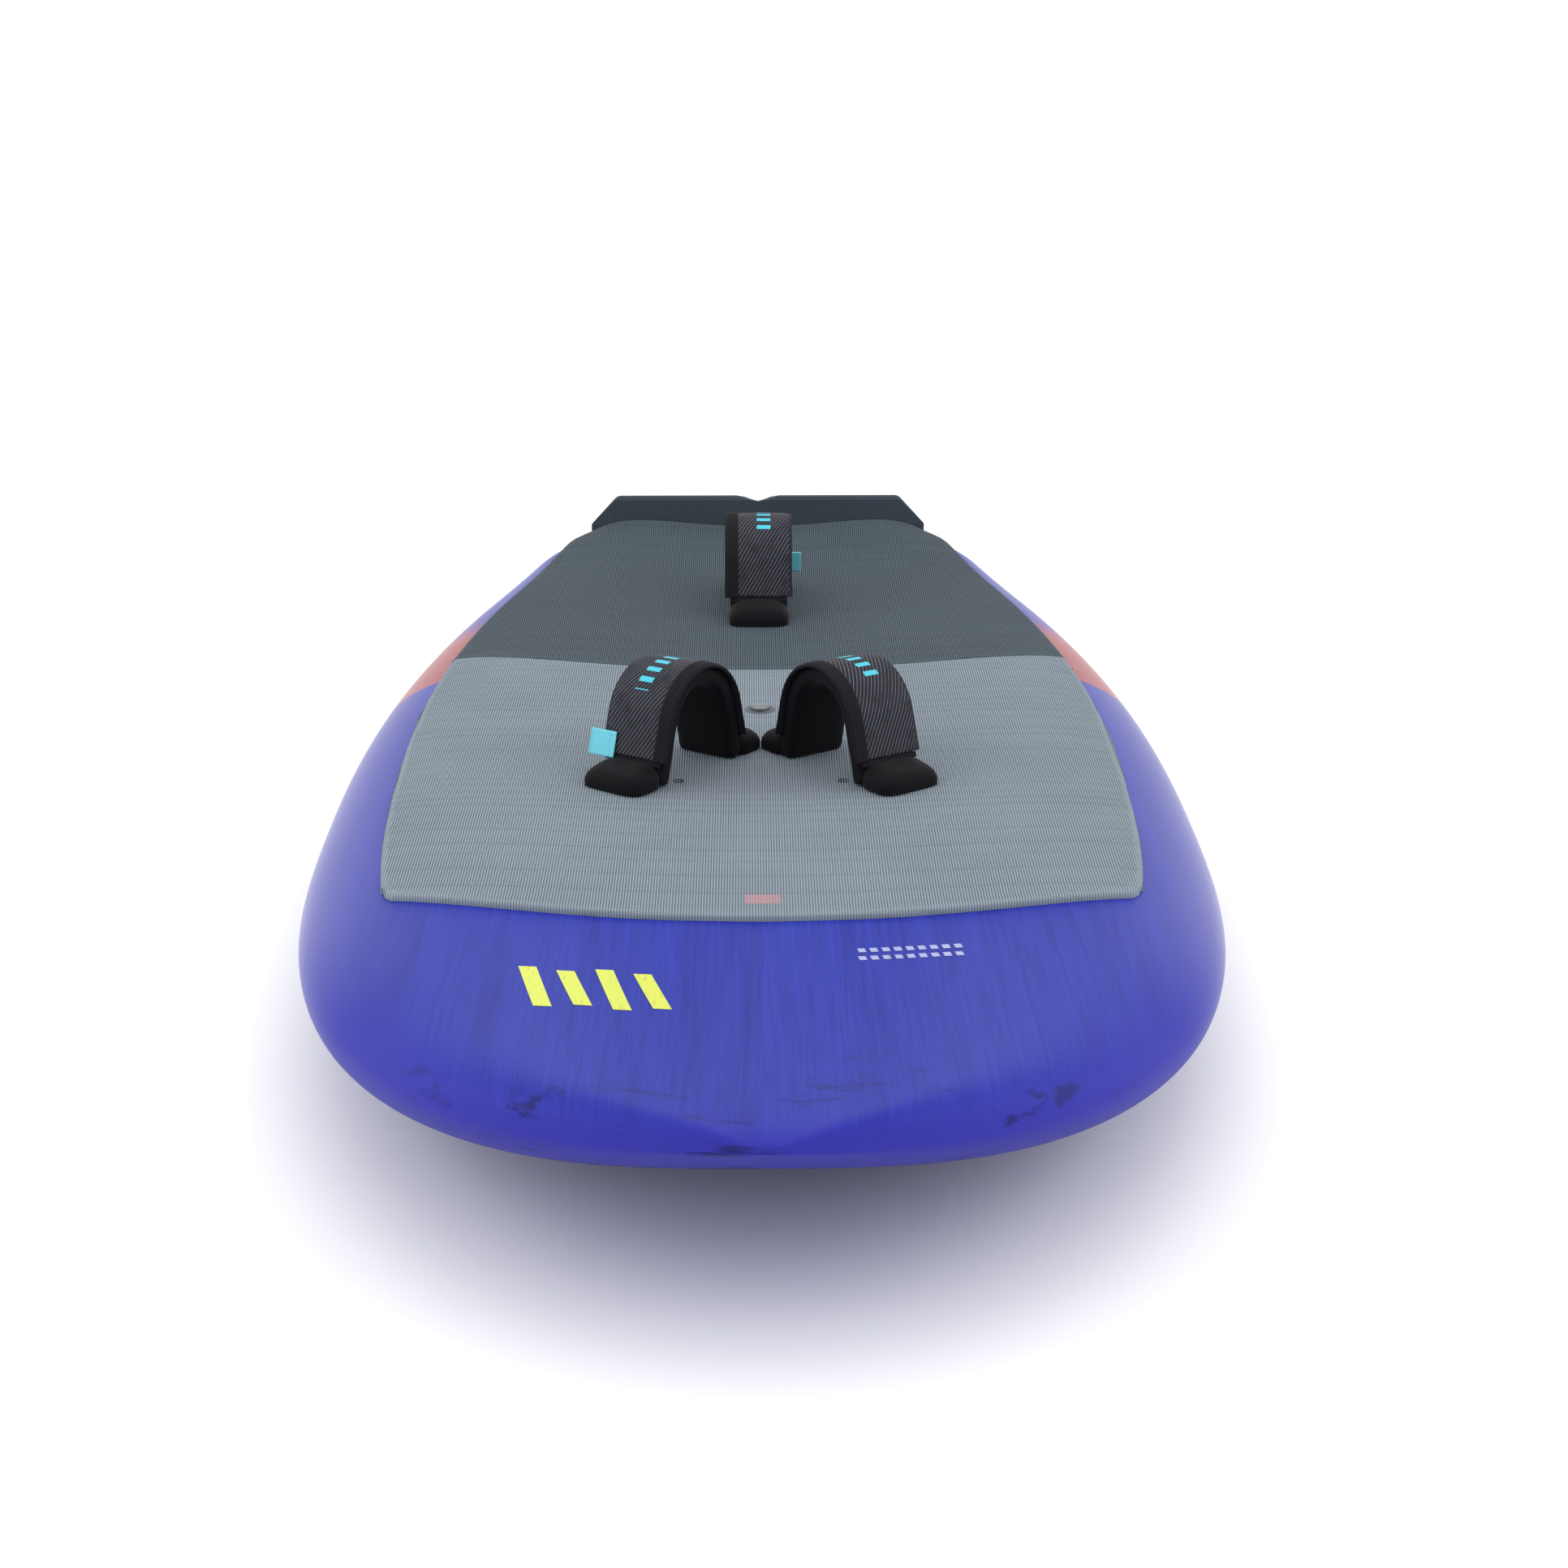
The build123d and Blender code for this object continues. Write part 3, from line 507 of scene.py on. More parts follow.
def make_studio():
    world = bpy.data.worlds.new("studio_world")
    world.use_nodes = True
    world.node_tree.nodes["Background"].inputs["Color"].default_value = (1.0, 1.0, 1.0, 1.0)
    world.node_tree.nodes["Background"].inputs["Strength"].default_value = 1.15
    bpy.context.scene.world = world
    area_light("left_softbox", (-2.6, -0.5, 1.5), (0, 0, 0.1), (3.2, 1.6), 26)
    area_light("right_softbox", (2.6, -0.5, 1.5), (0, 0, 0.1), (3.2, 1.6), 26)
    area_light("top_softbox", (0.0, 0.4, 3.2), (0, 0, 0.1), (3.0, 3.0), 18)
    size = 60.0
    corners = np.array([[-size, -size, 0], [size, -size, 0], [size, size, 0], [-size, size, 0]], dtype=float)
    floor = mesh_piece("studio_floor", corners, np.array([[0, 1, 2, 3]]), smooth=False)
    material, _, _ = new_material("studio_floor", base=(0.88, 0.88, 0.88), roughness=0.9)
    floor.data.materials.append(material)


make_camera()
make_studio()
bpy.context.scene.view_settings.view_transform = "Standard"
print("camera and studio ready")

# %% [markdown]
# ## Grooved deck pads
# The pads are sheets of foam rubber, glued to the deck and cut with fine grooves
# that run from nose to tail. The grooves are real geometry here: columns lie at
# fixed distances from the centre line, four to a groove, and each column runs
# from one end of the pad to the other. Only few rows are needed, because the
# grooves are straight.

# %% Pad outlines
front_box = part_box("front_deck_pad")
rear_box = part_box("rear_deck_pad")
GROOVE = 0.0021
RIDGE = 0.0007
BEVEL = 0.0045
PAD_END = TAIL_Y - front_box[0][1]
SPLIT = 0.542
PAD_BOW, SPLIT_BOW = 0.038, 0.037


def pad_half(station):
    """Half width of the pads: a margin inside the rail that grows toward the nose."""
    margin = 0.027 + 0.037 / PAD_END * station
    return half_width(station) - margin + np.minimum(corner_cut(station), margin - 0.011)


def bowed(centre, bow, x, half):
    """Station of an edge across the board, falling back toward the tail by a cube law."""
    return centre - bow * np.clip(np.abs(x) / half, 0.0, 1.0) ** 3


def outline_spans(x, tail_station, tail_bow, nose_station, nose_bow, corner):
    """First and last station of the pad at each distance from the centre line."""
    table = np.linspace(tail_station - tail_bow, nose_station, 1600)
    widths = pad_half(table)
    peak = int(np.argmax(widths))
    side = np.abs(x)
    tail_half = pad_half(tail_station - tail_bow)
    nose_half = pad_half(nose_station - nose_bow)
    first = bowed(tail_station, tail_bow, x, tail_half) if tail_bow else np.full_like(x, tail_station)
    last = bowed(nose_station, nose_bow, x, nose_half)
    grow = np.interp(side, widths[:peak + 1], table[:peak + 1])
    first = np.where(side > tail_half, grow, first)
    shrink = np.interp(-side, -widths[peak:], table[peak:])
    last = np.where(side > nose_half, np.minimum(last, shrink), last)
    if corner:
        inset = np.clip((side - (nose_half - corner)) / corner, 0.0, 1.0)
        rounding = corner * (1 - np.sqrt(1 - np.minimum(inset, 0.999) ** 2))
        rounded = np.minimum(last, nose_station - nose_bow * 0.72 - rounding)
        last = np.where(side > nose_half - corner, rounded, last)
        last = np.where(side > nose_half, np.minimum(last, shrink), last)
    return first, np.maximum(last, first)


def edge_distance(points, loop):
    """Distance in plan from each point to a closed loop of short straight runs."""
    nearest = np.full(len(points), 1e9)
    starts, ends = loop, np.roll(loop, -1, axis=0)
    runs = ends - starts
    lengths = np.maximum((runs ** 2).sum(1), 1e-12)
    for start, run, length in zip(starts, runs, lengths):
        share = np.clip(((points - start) @ run) / length, 0.0, 1.0)
        gap = points - start - share[:, None] * run
        nearest = np.minimum(nearest, (gap ** 2).sum(1))
    return np.sqrt(nearest)


def groove_height(x):
    """Flat ridges with rounded grooves between them."""
    phase = (x / GROOVE) % 1.0
    return RIDGE * (np.clip(np.abs(phase - 0.5) * 4 - 0.6, 0.0, 1.0) - 1.0)


print("pad ends at station", round(PAD_END, 3))

# %% [markdown]
# ## Pad surface
# The height of a pad is its thickness, rounded off to the deck over a narrow
# bevel along the outline. Grooves start inside the bevel, which leaves the smooth
# band that a cut pad shows along its edge.

# %% Pad pieces


def pad_surface(name, tail_station, tail_bow, nose_station, nose_bow, corner):
    edge = pad_half(np.linspace(tail_station - tail_bow, nose_station, 900)).max()
    count = int(edge / GROOVE) * 4
    x = np.linspace(-count, count, 2 * count + 1) * GROOVE / 4 + GROOVE / 8
    x = np.concatenate([[-edge], x[np.abs(x) < edge - 1e-4], [edge]])
    first, last = outline_spans(x, tail_station, tail_bow, nose_station, nose_bow, corner)
    near = np.array([0.0, 0.0006, 0.0015, 0.003, BEVEL, BEVEL + 0.0012])
    length = np.maximum(last - first, 1e-5)[None, :]
    middle = np.linspace(0.0, 1.0, 46)[1:-1][:, None]
    ramp_in = np.minimum(near[:, None], length * 0.02 * np.arange(len(near))[:, None])
    inner_from, inner_to = ramp_in[-1], length[0] - ramp_in[-1]
    body = inner_from[None, :] + (inner_to - inner_from)[None, :] * middle
    along = np.concatenate([ramp_in, body, length - ramp_in[::-1]], axis=0)
    station = first[None, :] + along
    grid_x = np.broadcast_to(x[None, :], station.shape)
    loop = np.concatenate([np.stack([x, first], 1), np.stack([x, last], 1)[::-1]])[::6]
    distance = edge_distance(np.stack([grid_x.ravel(), station.ravel()], 1), loop).reshape(station.shape)
    lift = np.sqrt(np.clip(1 - (1 - np.clip(distance / BEVEL, 0.0, 1.0)) ** 2, 0.0, 1.0))
    groove = groove_height(grid_x) * np.clip((distance - BEVEL) / 0.0012, 0.0, 1.0)
    height = (PAD_THICKNESS + groove) * (0.25 + 0.75 * lift)
    z = deck_z(grid_x, station) + height
    top = np.stack([grid_x, y_at(station), z], -1)
    foot_first = np.stack([x, y_at(first), deck_z(x, first) - 0.0004], -1)[None]
    foot_last = np.stack([x, y_at(last), deck_z(x, last) - 0.0004], -1)[None]
    surface = np.concatenate([foot_first, top, foot_last], axis=0)
    faces = grid_faces(surface.shape[0], surface.shape[1])
    return mesh_piece(name, surface.reshape(-1, 3), faces)


def pad_material(name, ridge, groove_shade_colour):
    """Foam rubber: pale ridges, grooves darkened with painted shade, faint cross cuts at uneven spacing."""
    material, tree, shader = new_material(name, roughness=0.85)
    shader.inputs["Specular IOR Level"].default_value = 0.2
    place, (x, y, z) = object_axes(tree)
    phase = math_node(tree, "FRACT", math_node(tree, "DIVIDE", x, GROOVE))
    from_middle = math_node(tree, "ABSOLUTE", minus(tree, phase, 0.5))
    ridge_mask = ramp(tree, from_middle, 0.10, 0.34)
    fine = noise(tree, place, 1400.0, 3.0, 0.6)
    tone = noise(tree, place, 9.0, 3.0, 0.5)
    wander = noise(tree, stretched(tree, place, (3.0, 0.0, 0.0)), 1.0, 2.0, 0.5)
    shifted = plus(tree, y, times(tree, wander, 0.004))
    row = math_node(tree, "FLOOR", math_node(tree, "DIVIDE", shifted, 0.019))
    random = node(tree, "ShaderNodeTexWhiteNoise", noise_dimensions="1D")
    join(tree, row, random.inputs["W"])
    cut_phase = math_node(tree, "FRACT", math_node(tree, "DIVIDE", shifted, 0.019))
    offset = times(tree, random.outputs["Value"], 0.7)
    gap = math_node(tree, "ABSOLUTE", minus(tree, minus(tree, cut_phase, 0.12), offset))
    pair = math_node(tree, "ABSOLUTE", minus(tree, gap, 0.07))
    cut = minus(tree, 1.0, ramp(tree, pair, 0.015, 0.045))
    strength = times(tree, cut, plus(tree, 0.10, times(tree, random.outputs["Value"], 0.22)))
    # Painted shade: the grooves get a darker colour than the ridges, on top of the real groove geometry.
    base = mix(tree, ridge_mask, groove_shade_colour, ridge)
    base = mix(tree, times(tree, ramp(tree, fine, 0.35, 0.75), 0.18), base, tuple(c * 0.72 for c in ridge))
    base = mix(tree, times(tree, ramp(tree, tone, 0.35, 0.7), 0.12), base, tuple(c * 1.2 for c in ridge))
    base = mix(tree, strength, base, tuple(c * 0.45 for c in groove_shade_colour))
    join(tree, base, shader.inputs["Base Color"])
    add_bump(tree, shader, fine, 0.25, 0.0003)
    return material


PAD_LIGHT = pad_material("pad_light_grey", (0.240, 0.282, 0.325), (0.115, 0.140, 0.165))
PAD_DARK = pad_material("pad_dark_grey", (0.078, 0.104, 0.124), (0.030, 0.041, 0.050))

front_pad = pad_surface("front_deck_pad_foam", SPLIT + 0.0002, SPLIT_BOW, PAD_END, PAD_BOW, 0.026)
finish_piece(front_pad, "board", "pad_light", PAD_LIGHT, "front_deck_pad")
rear_pad = pad_surface("rear_deck_pad_foam", KICK_STATION, 0.0, SPLIT - 0.0002, SPLIT_BOW, 0.0)
finish_piece(rear_pad, "board", "pad_dark", PAD_DARK, "rear_deck_pad")

# %% [markdown]
# ## The line a foot strap follows
# A strap is a band of webbing with padding under it and a cover over it. Every
# layer follows one arch: a flat tab, a bend of 12 mm, a leg leaning at 75 degrees
# and a round crown. The line is made of tangent arcs, and a layer is the same
# line moved outward, so the layers fit each other wherever they are cut.

# %% Arch of the strap
STRAP_HEIGHT = 0.093
LEG_ANGLE = math.radians(75.0)
FOOT_BEND = 0.012
CROWN = 0.046
TAB = 0.022
WEBBING = 0.003
SLEEVE_IN, SLEEVE_OUT = 0.009, 0.002
COVER = 0.003
SLEEVE_WIDTH, COVER_WIDTH = 0.060, 0.066
BENDS = (FOOT_BEND + CROWN) * (1 - math.cos(LEG_ANGLE))
LEG = (STRAP_HEIGHT - COVER - SLEEVE_OUT - WEBBING - BENDS) / math.sin(LEG_ANGLE)
SPREAD = (FOOT_BEND + CROWN) * math.sin(LEG_ANGLE) + LEG * math.cos(LEG_ANGLE)
SCREW_SPREAD = SPREAD + TAB / 2


def arch(distance):
    """Points and outward normals of the arch line at distances along it from its middle.

    The crown is an arc of radius CROWN over an angle LEG_ANGLE each way, then comes the
    straight leg, then the foot bend the other way, then the tab.
    """
    side = np.sign(distance)
    far = np.abs(distance)
    crown_run = CROWN * LEG_ANGLE
    bend_run = FOOT_BEND * LEG_ANGLE
    turn = np.minimum(far / CROWN, LEG_ANGLE)
    top = STRAP_HEIGHT - COVER - SLEEVE_OUT - WEBBING / 2
    across = CROWN * np.sin(turn)
    height = top - CROWN * (1 - np.cos(turn))
    on_leg = np.clip(far - crown_run, 0.0, LEG)
    across = across + on_leg * math.cos(LEG_ANGLE)
    height = height - on_leg * math.sin(LEG_ANGLE)
    back = np.clip(far - crown_run - LEG, 0.0, bend_run) / FOOT_BEND
    across = across + FOOT_BEND * (math.sin(LEG_ANGLE) - np.sin(LEG_ANGLE - back))
    height = height - FOOT_BEND * (np.cos(LEG_ANGLE - back) - math.cos(LEG_ANGLE))
    across = across + np.clip(far - crown_run - LEG - bend_run, 0.0, None)
    lean = turn - back
    normal = np.stack([side * np.sin(lean), np.cos(lean)], -1)
    return np.stack([side * across, height], -1), normal


ARCH_HALF = CROWN * LEG_ANGLE + LEG + FOOT_BEND * LEG_ANGLE
STRAPS = {
    "front_left_strap": (-0.0725, 0.848, 55.5, ("outer", "inner")),
    "front_right_strap": (0.0725, 0.848, -55.5, ("inner", "outer")),
    "rear_strap": (0.0, 0.298, -90.0, ("rear", "front")),
}


def strap_frame(name):
    """Turn about the vertical and tilt along the strap, so that both feet rest on the pad."""
    x, station, turn, _ = STRAPS[name]
    turn = math.radians(turn)
    along = np.array([math.cos(turn), math.sin(turn)])
    feet = []
    for side in (-1, 1):
        spot = np.array([x, -station]) + side * SCREW_SPREAD * along
        feet.append(float(deck_z(spot[0], -spot[1])) + PAD_THICKNESS)
    tilt = math.atan2(feet[0] - feet[1], 2 * SCREW_SPREAD)
    origin = np.array([x, y_at(station), sum(feet) / 2])
    u = np.array([along[0] * math.cos(tilt), along[1] * math.cos(tilt), -math.sin(tilt)])
    v = np.array([-along[1], along[0], 0.0])
    return origin, np.stack([u, v, np.cross(u, v)])


def placed(name, local):
    origin, axes = strap_frame(name)
    return origin + local @ axes


def band_surface(distances, section, local_shift):
    """Closed band: a closed section (across, outward) carried along the arch.

    section(share) gives the section's points for each share of the way, from 0 to 1.
    The first and last rows are drawn together to close the ends.
    """
    line, normal = arch(distances)
    share = np.linspace(0.0, 1.0, len(distances))
    across, outward = section(share)
    u = line[:, 0:1] + normal[:, 0:1] * outward
    w = line[:, 1:2] + normal[:, 1:2] * outward
    local = local_shift(np.stack([u, across, w], -1))
    ends = [local[:1].mean(axis=1, keepdims=True), local[-1:].mean(axis=1, keepdims=True)]
    local = np.concatenate([np.broadcast_to(ends[0], local[:1].shape), local,
                            np.broadcast_to(ends[1], local[:1].shape)], axis=0)
    return local


def superellipse(count, power_across, power_out):
    """Unit section whose sides are flat for high powers."""
    turn = np.linspace(0.0, 2 * np.pi, count, endpoint=False)
    c, s = np.cos(turn), np.sin(turn)
    return np.sign(c) * np.abs(c) ** (2 / power_across), np.sign(s) * np.abs(s) ** (2 / power_out)


def smooth_noise(shape, seed, cells):
    """Soft random field between -1 and 1: a few random waves added together."""
    generator = np.random.default_rng(seed)
    rows = np.linspace(0.0, 1.0, shape[0])[:, None]
    columns = np.linspace(0.0, 1.0, shape[1])[None, :]
    field = np.zeros(shape)
    for _ in range(cells):
        a, b = generator.uniform(1.0, 7.0), generator.integers(1, 4)
        p, q = generator.uniform(0.0, 2 * np.pi, 2)
        field += np.sin(2 * np.pi * a * rows + p) * np.cos(2 * np.pi * b * columns + q)
    return field / cells


print("strap spread", round(SPREAD, 4), "arch half length", round(ARCH_HALF, 4))

# %% [markdown]
# ## Neoprene and cover cloth
# Neoprene is rubber foam with a knitted face: nearly black, soft in its shine and
# with a fine jersey grain. The cover is coated cloth with thin pale lines printed
# at a slant. The lines follow the cloth round the arch, so they read the surface's
# own UV map, in millimetres along and across the band.

# %% Strap materials


def neoprene_finish():
    material, tree, shader = new_material("neoprene_black", base=(0.0022, 0.0021, 0.0040), roughness=0.75)
    shader.inputs["Sheen Weight"].default_value = 0.03
    shader.inputs["Sheen Roughness"].default_value = 0.5
    shader.inputs["Specular IOR Level"].default_value = 0.12
    place, _ = object_axes(tree)
    weave = noise(tree, place, 1500.0, 2.0, 0.5)
    lumps = noise(tree, place, 60.0, 3.0, 0.5)
    both = plus(tree, times(tree, weave, 0.35), lumps)
    add_bump(tree, shader, both, 0.35, 0.0008)
    return material


def cover_finish():
    material, tree, shader = new_material("strap_cover_cloth", roughness=0.62)
    shader.inputs["Specular IOR Level"].default_value = 0.12
    vector, (along, across, _) = uv_axes(tree)
    slant = plus(tree, across, times(tree, along, 0.60))
    phase = math_node(tree, "FRACT", math_node(tree, "DIVIDE", slant, 3.6))
    from_middle = math_node(tree, "ABSOLUTE", minus(tree, phase, 0.5))
    line = minus(tree, 1.0, ramp(tree, from_middle, 0.06, 0.12))
    wear = noise(tree, stretched(tree, vector, (0.05, 0.05, 1.0)), 1.0, 3.0, 0.6)
    line = times(tree, line, ramp(tree, wear, 0.25, 0.55))
    inside = times(tree, ramp(tree, across, -21.0, -19.0), ramp(tree, across, 31.0, 29.5))
    line = times(tree, line, inside)
    weave = noise(tree, stretched(tree, vector, (2.2, 2.2, 1.0)), 1.0, 3.0, 0.6)
    cloth = mix(tree, ramp(tree, weave, 0.3, 0.7), (0.0110, 0.0112, 0.0160), (0.0190, 0.0195, 0.0270))
    colour = mix(tree, line, cloth, (0.130, 0.135, 0.160))
    # Plain turquoise bars, where such covers carry a print.
    bar_phase = math_node(tree, "FRACT", math_node(tree, "DIVIDE", plus(tree, along, 200.0), 11.0))
    bar = times(tree, ramp(tree, bar_phase, 0.18, 0.22), ramp(tree, bar_phase, 0.66, 0.62))
    rows = times(tree, ramp(tree, along, -40.0, -39.5), ramp(tree, along, 30.0, 29.5))
    columns = times(tree, ramp(tree, across, -2.0, -1.5), ramp(tree, across, 12.0, 11.5))
    bars = times(tree, bar, times(tree, rows, columns))
    colour = mix(tree, bars, colour, (0.070, 0.480, 0.600))
    join(tree, colour, shader.inputs["Base Color"])
    height = plus(tree, times(tree, weave, 0.5), times(tree, line, 0.5))
    add_bump(tree, shader, height, 0.4, 0.0003)
    return material


def plain_cloth(name, colour, roughness, grain):
    material, tree, shader = new_material(name, roughness=roughness)
    place, _ = object_axes(tree)
    weave = noise(tree, place, grain, 3.0, 0.6)
    tone = mix(tree, ramp(tree, weave, 0.3, 0.7), tuple(c * 0.75 for c in colour), colour)
    join(tree, tone, shader.inputs["Base Color"])
    shader.inputs["Specular IOR Level"].default_value = 0.12
    add_bump(tree, shader, weave, 0.5, 0.0004)
    return material


NEOPRENE = neoprene_finish()
COVER_CLOTH = cover_finish()
BINDING = plain_cloth("binding_tape", (0.0095, 0.0090, 0.0130), 0.8, 1800.0)
STITCH = plain_cloth("stitch_thread", (0.0300, 0.0300, 0.0360), 0.6, 3000.0)
TAG_CLOTH = plain_cloth("turquoise_tape", (0.180, 0.640, 0.760), 0.7, 2200.0)
TAG_STITCH = plain_cloth("tag_thread", (0.110, 0.420, 0.560), 0.7, 3000.0)

# %% [markdown]
# ## Sleeves, covers and toe caps
# The padded sleeve is a superellipse carried along the arch. It thickens toward
# the feet, where the foam is folded in, and soft waves on its face stand for the
# slight pull of the seams. The cover is a thin band a little wider than the sleeve,
# whose edges droop round it.

# %% Strap pieces


def sleeve_piece(name):
    reach = ARCH_HALF - FOOT_BEND * LEG_ANGLE * 0.55
    distances = np.linspace(-reach, reach, 150)
    unit_across, unit_out = superellipse(64, 7.0, 3.6)

    def section(share):
        foot = (np.abs(share - 0.5) * 2)[:, None] ** 6
        half = SLEEVE_WIDTH / 2 * (1 - 0.05 * foot) - 0.0008
        low = -WEBBING / 2 - SLEEVE_IN - 0.0020 - 0.0035 * foot
        high = WEBBING / 2 + SLEEVE_OUT - 0.0003
        ends = np.clip(np.minimum(share, 1 - share)[:, None] / 0.012, 0.0, 1.0)
        ends = np.sqrt(1 - (1 - ends) ** 2) * 0.25 + 0.75
        wave = smooth_noise((len(share), 64), 11, 9) * 0.0007
        across = half * unit_across[None, :] * ends
        out = (low + high) / 2 + (high - low) / 2 * unit_out[None, :] * ends
        inside = unit_out[None, :] < -0.2
        return across, out + wave * inside

    def rest_on_pad(local):
        local[..., 2] = np.maximum(local[..., 2], 0.0006)
        return local

    local = band_surface(distances, section, rest_on_pad)
    points = placed(name, local)
    faces = grid_faces(points.shape[0], points.shape[1], wrap=True)
    piece = weld(mesh_piece(name + "_padding", points.reshape(-1, 3), faces), 2e-6)
    return piece


def closed_ends(local, uv):
    """Draw the first and last rows of a band together, so that neither end is open."""
    def gathered(row):
        centre = row.mean(axis=1, keepdims=True)
        return np.broadcast_to(centre, row.shape), centre * 0.06 + row * 0.94

    tip, near_tip = gathered(local[:1])
    heel, near_heel = gathered(local[-1:])
    local = np.concatenate([tip, near_tip, local, near_heel, heel], axis=0)
    return local, np.concatenate([uv[:1], uv[:1], uv, uv[-1:], uv[-1:]], axis=0)


def strip_local(first, last, low, high, base, thick, rows, droop, lift=0.0):
    """Thin closed band between two lines across the strap, with rounded edges."""
    distances = np.linspace(first, last, rows)
    unit_across, unit_out = superellipse(56, 14.0, 3.0)
    middle, half = (low + high) / 2, (high - low) / 2
    across = middle + half * unit_across[None, :] + np.zeros((rows, 1))
    share = across / (COVER_WIDTH / 2)
    sag = droop * np.abs(share) ** 5
    ripple = smooth_noise((rows, 56), rows, 7) * 0.00035
    out = base + thick / 2 + thick / 2 * unit_out[None, :] - sag + ripple + lift
    line, normal = arch(distances)
    u = line[:, 0:1] + normal[:, 0:1] * out
    w = line[:, 1:2] + normal[:, 1:2] * out
    local = np.stack([u, across, w], -1)
    uv = np.stack([np.broadcast_to(distances[:, None] * 1000, across.shape), across * 1000], -1)
    return closed_ends(local, uv)


def strip_piece(label, name, *args, **settings):
    local, uv = strip_local(*args, **settings)
    points = placed(name, local)
    faces = grid_faces(points.shape[0], points.shape[1], wrap=True)
    return weld(mesh_piece(label, points.reshape(-1, 3), faces, uv=uv.reshape(-1, 2)), 1e-7)


def height_distance(height):
    """Distance along the arch at which the leg passes a height."""
    top = STRAP_HEIGHT - COVER - SLEEVE_OUT - WEBBING / 2
    leg_top = top - CROWN * (1 - math.cos(LEG_ANGLE))
    return CROWN * LEG_ANGLE + (leg_top - height) / math.sin(LEG_ANGLE)


def stitches(label, name, across, first, last, base, pitch=0.0042, length=0.0030, thick=0.00075):
    """Short lens-shaped threads in a row along the strap, each with a dozen faces."""
    centres = np.arange(first, last, pitch)
    along_unit = np.array([-1.0, -0.6, 0.0, 0.6, 1.0])
    around = np.linspace(0.0, 2 * np.pi, 6, endpoint=False)
    body = np.sqrt(1 - along_unit ** 2 * 0.97)
    distance = centres[:, None, None] + length / 2 * along_unit[None, :, None] + 0 * around[None, None, :]
    line, normal = arch(distance)
    out = base + thick / 2 * body[None, :, None] * np.sin(around)[None, None, :]
    v = across + thick / 2 * body[None, :, None] * np.cos(around)[None, None, :] + 0 * distance
    local = np.stack([line[..., 0] + normal[..., 0] * out, v, line[..., 1] + normal[..., 1] * out], -1)
    points = placed(name, local).reshape(len(centres), -1, 3)
    quads = grid_faces(5, 6, wrap=True)
    faces = (quads[None] + (np.arange(len(centres)) * 30)[:, None, None]).reshape(-1, 4)
    return mesh_piece(label, points.reshape(-1, 3), faces)


def boot_piece(name, side, end):
    """Toe cap: a dome on a rounded rectangle, lower and rounder at its outer end."""
    rows, columns = 26, 72
    turn = np.linspace(0.0, 2 * np.pi, columns, endpoint=False)
    rise = np.linspace(0.0, np.pi / 2, rows)
    c, s = np.cos(turn), np.sin(turn)
    plan_u = np.sign(c) * np.abs(c) ** (2 / 3.6)
    plan_v = np.sign(s) * np.abs(s) ** (2 / 5.0)
    radius = np.cos(rise)[:, None] ** 0.42
    up = np.sin(rise)[:, None] ** 0.80
    length, width, height = 0.040, 0.0580, 0.0205
    start = SPREAD - 0.0140
    u = start + length / 2 + length / 2 * plan_u[None, :] * radius
    v = width / 2 * plan_v[None, :] * radius
    outer = np.clip((u - start) / length, 0.0, 1.0)
    z = height * up * (1 - 0.30 * outer ** 1.6) + 0.0004
    z = z + 0.0006 * smooth_noise((rows, columns), 5 + side, 6) * up
    bulge = 1 + 0.035 * np.sin(np.pi * np.clip(up, 0, 1))
    local = np.stack([side * u, v * bulge, z + 0 * u], -1)
    points = placed(name, local)
    faces = grid_faces(rows, columns, wrap=True)
    return weld(mesh_piece(name + "_" + end + "_toe_cap", points.reshape(-1, 3), faces), 1e-6)


def tag_piece(name):
    """Folded tape lying on the cover's edge: a thin pillow that follows the leg."""
    low, high = COVER_WIDTH / 2 - 0.0150, COVER_WIDTH / 2 + 0.0105
    first = -height_distance(0.0165)
    last = -height_distance(0.0375)
    base = WEBBING / 2 + SLEEVE_OUT + COVER
    return strip_piece(name + "_tag_tape", name, first, last, low, high, base, 0.0011, 18, 0.0, lift=0.0002)


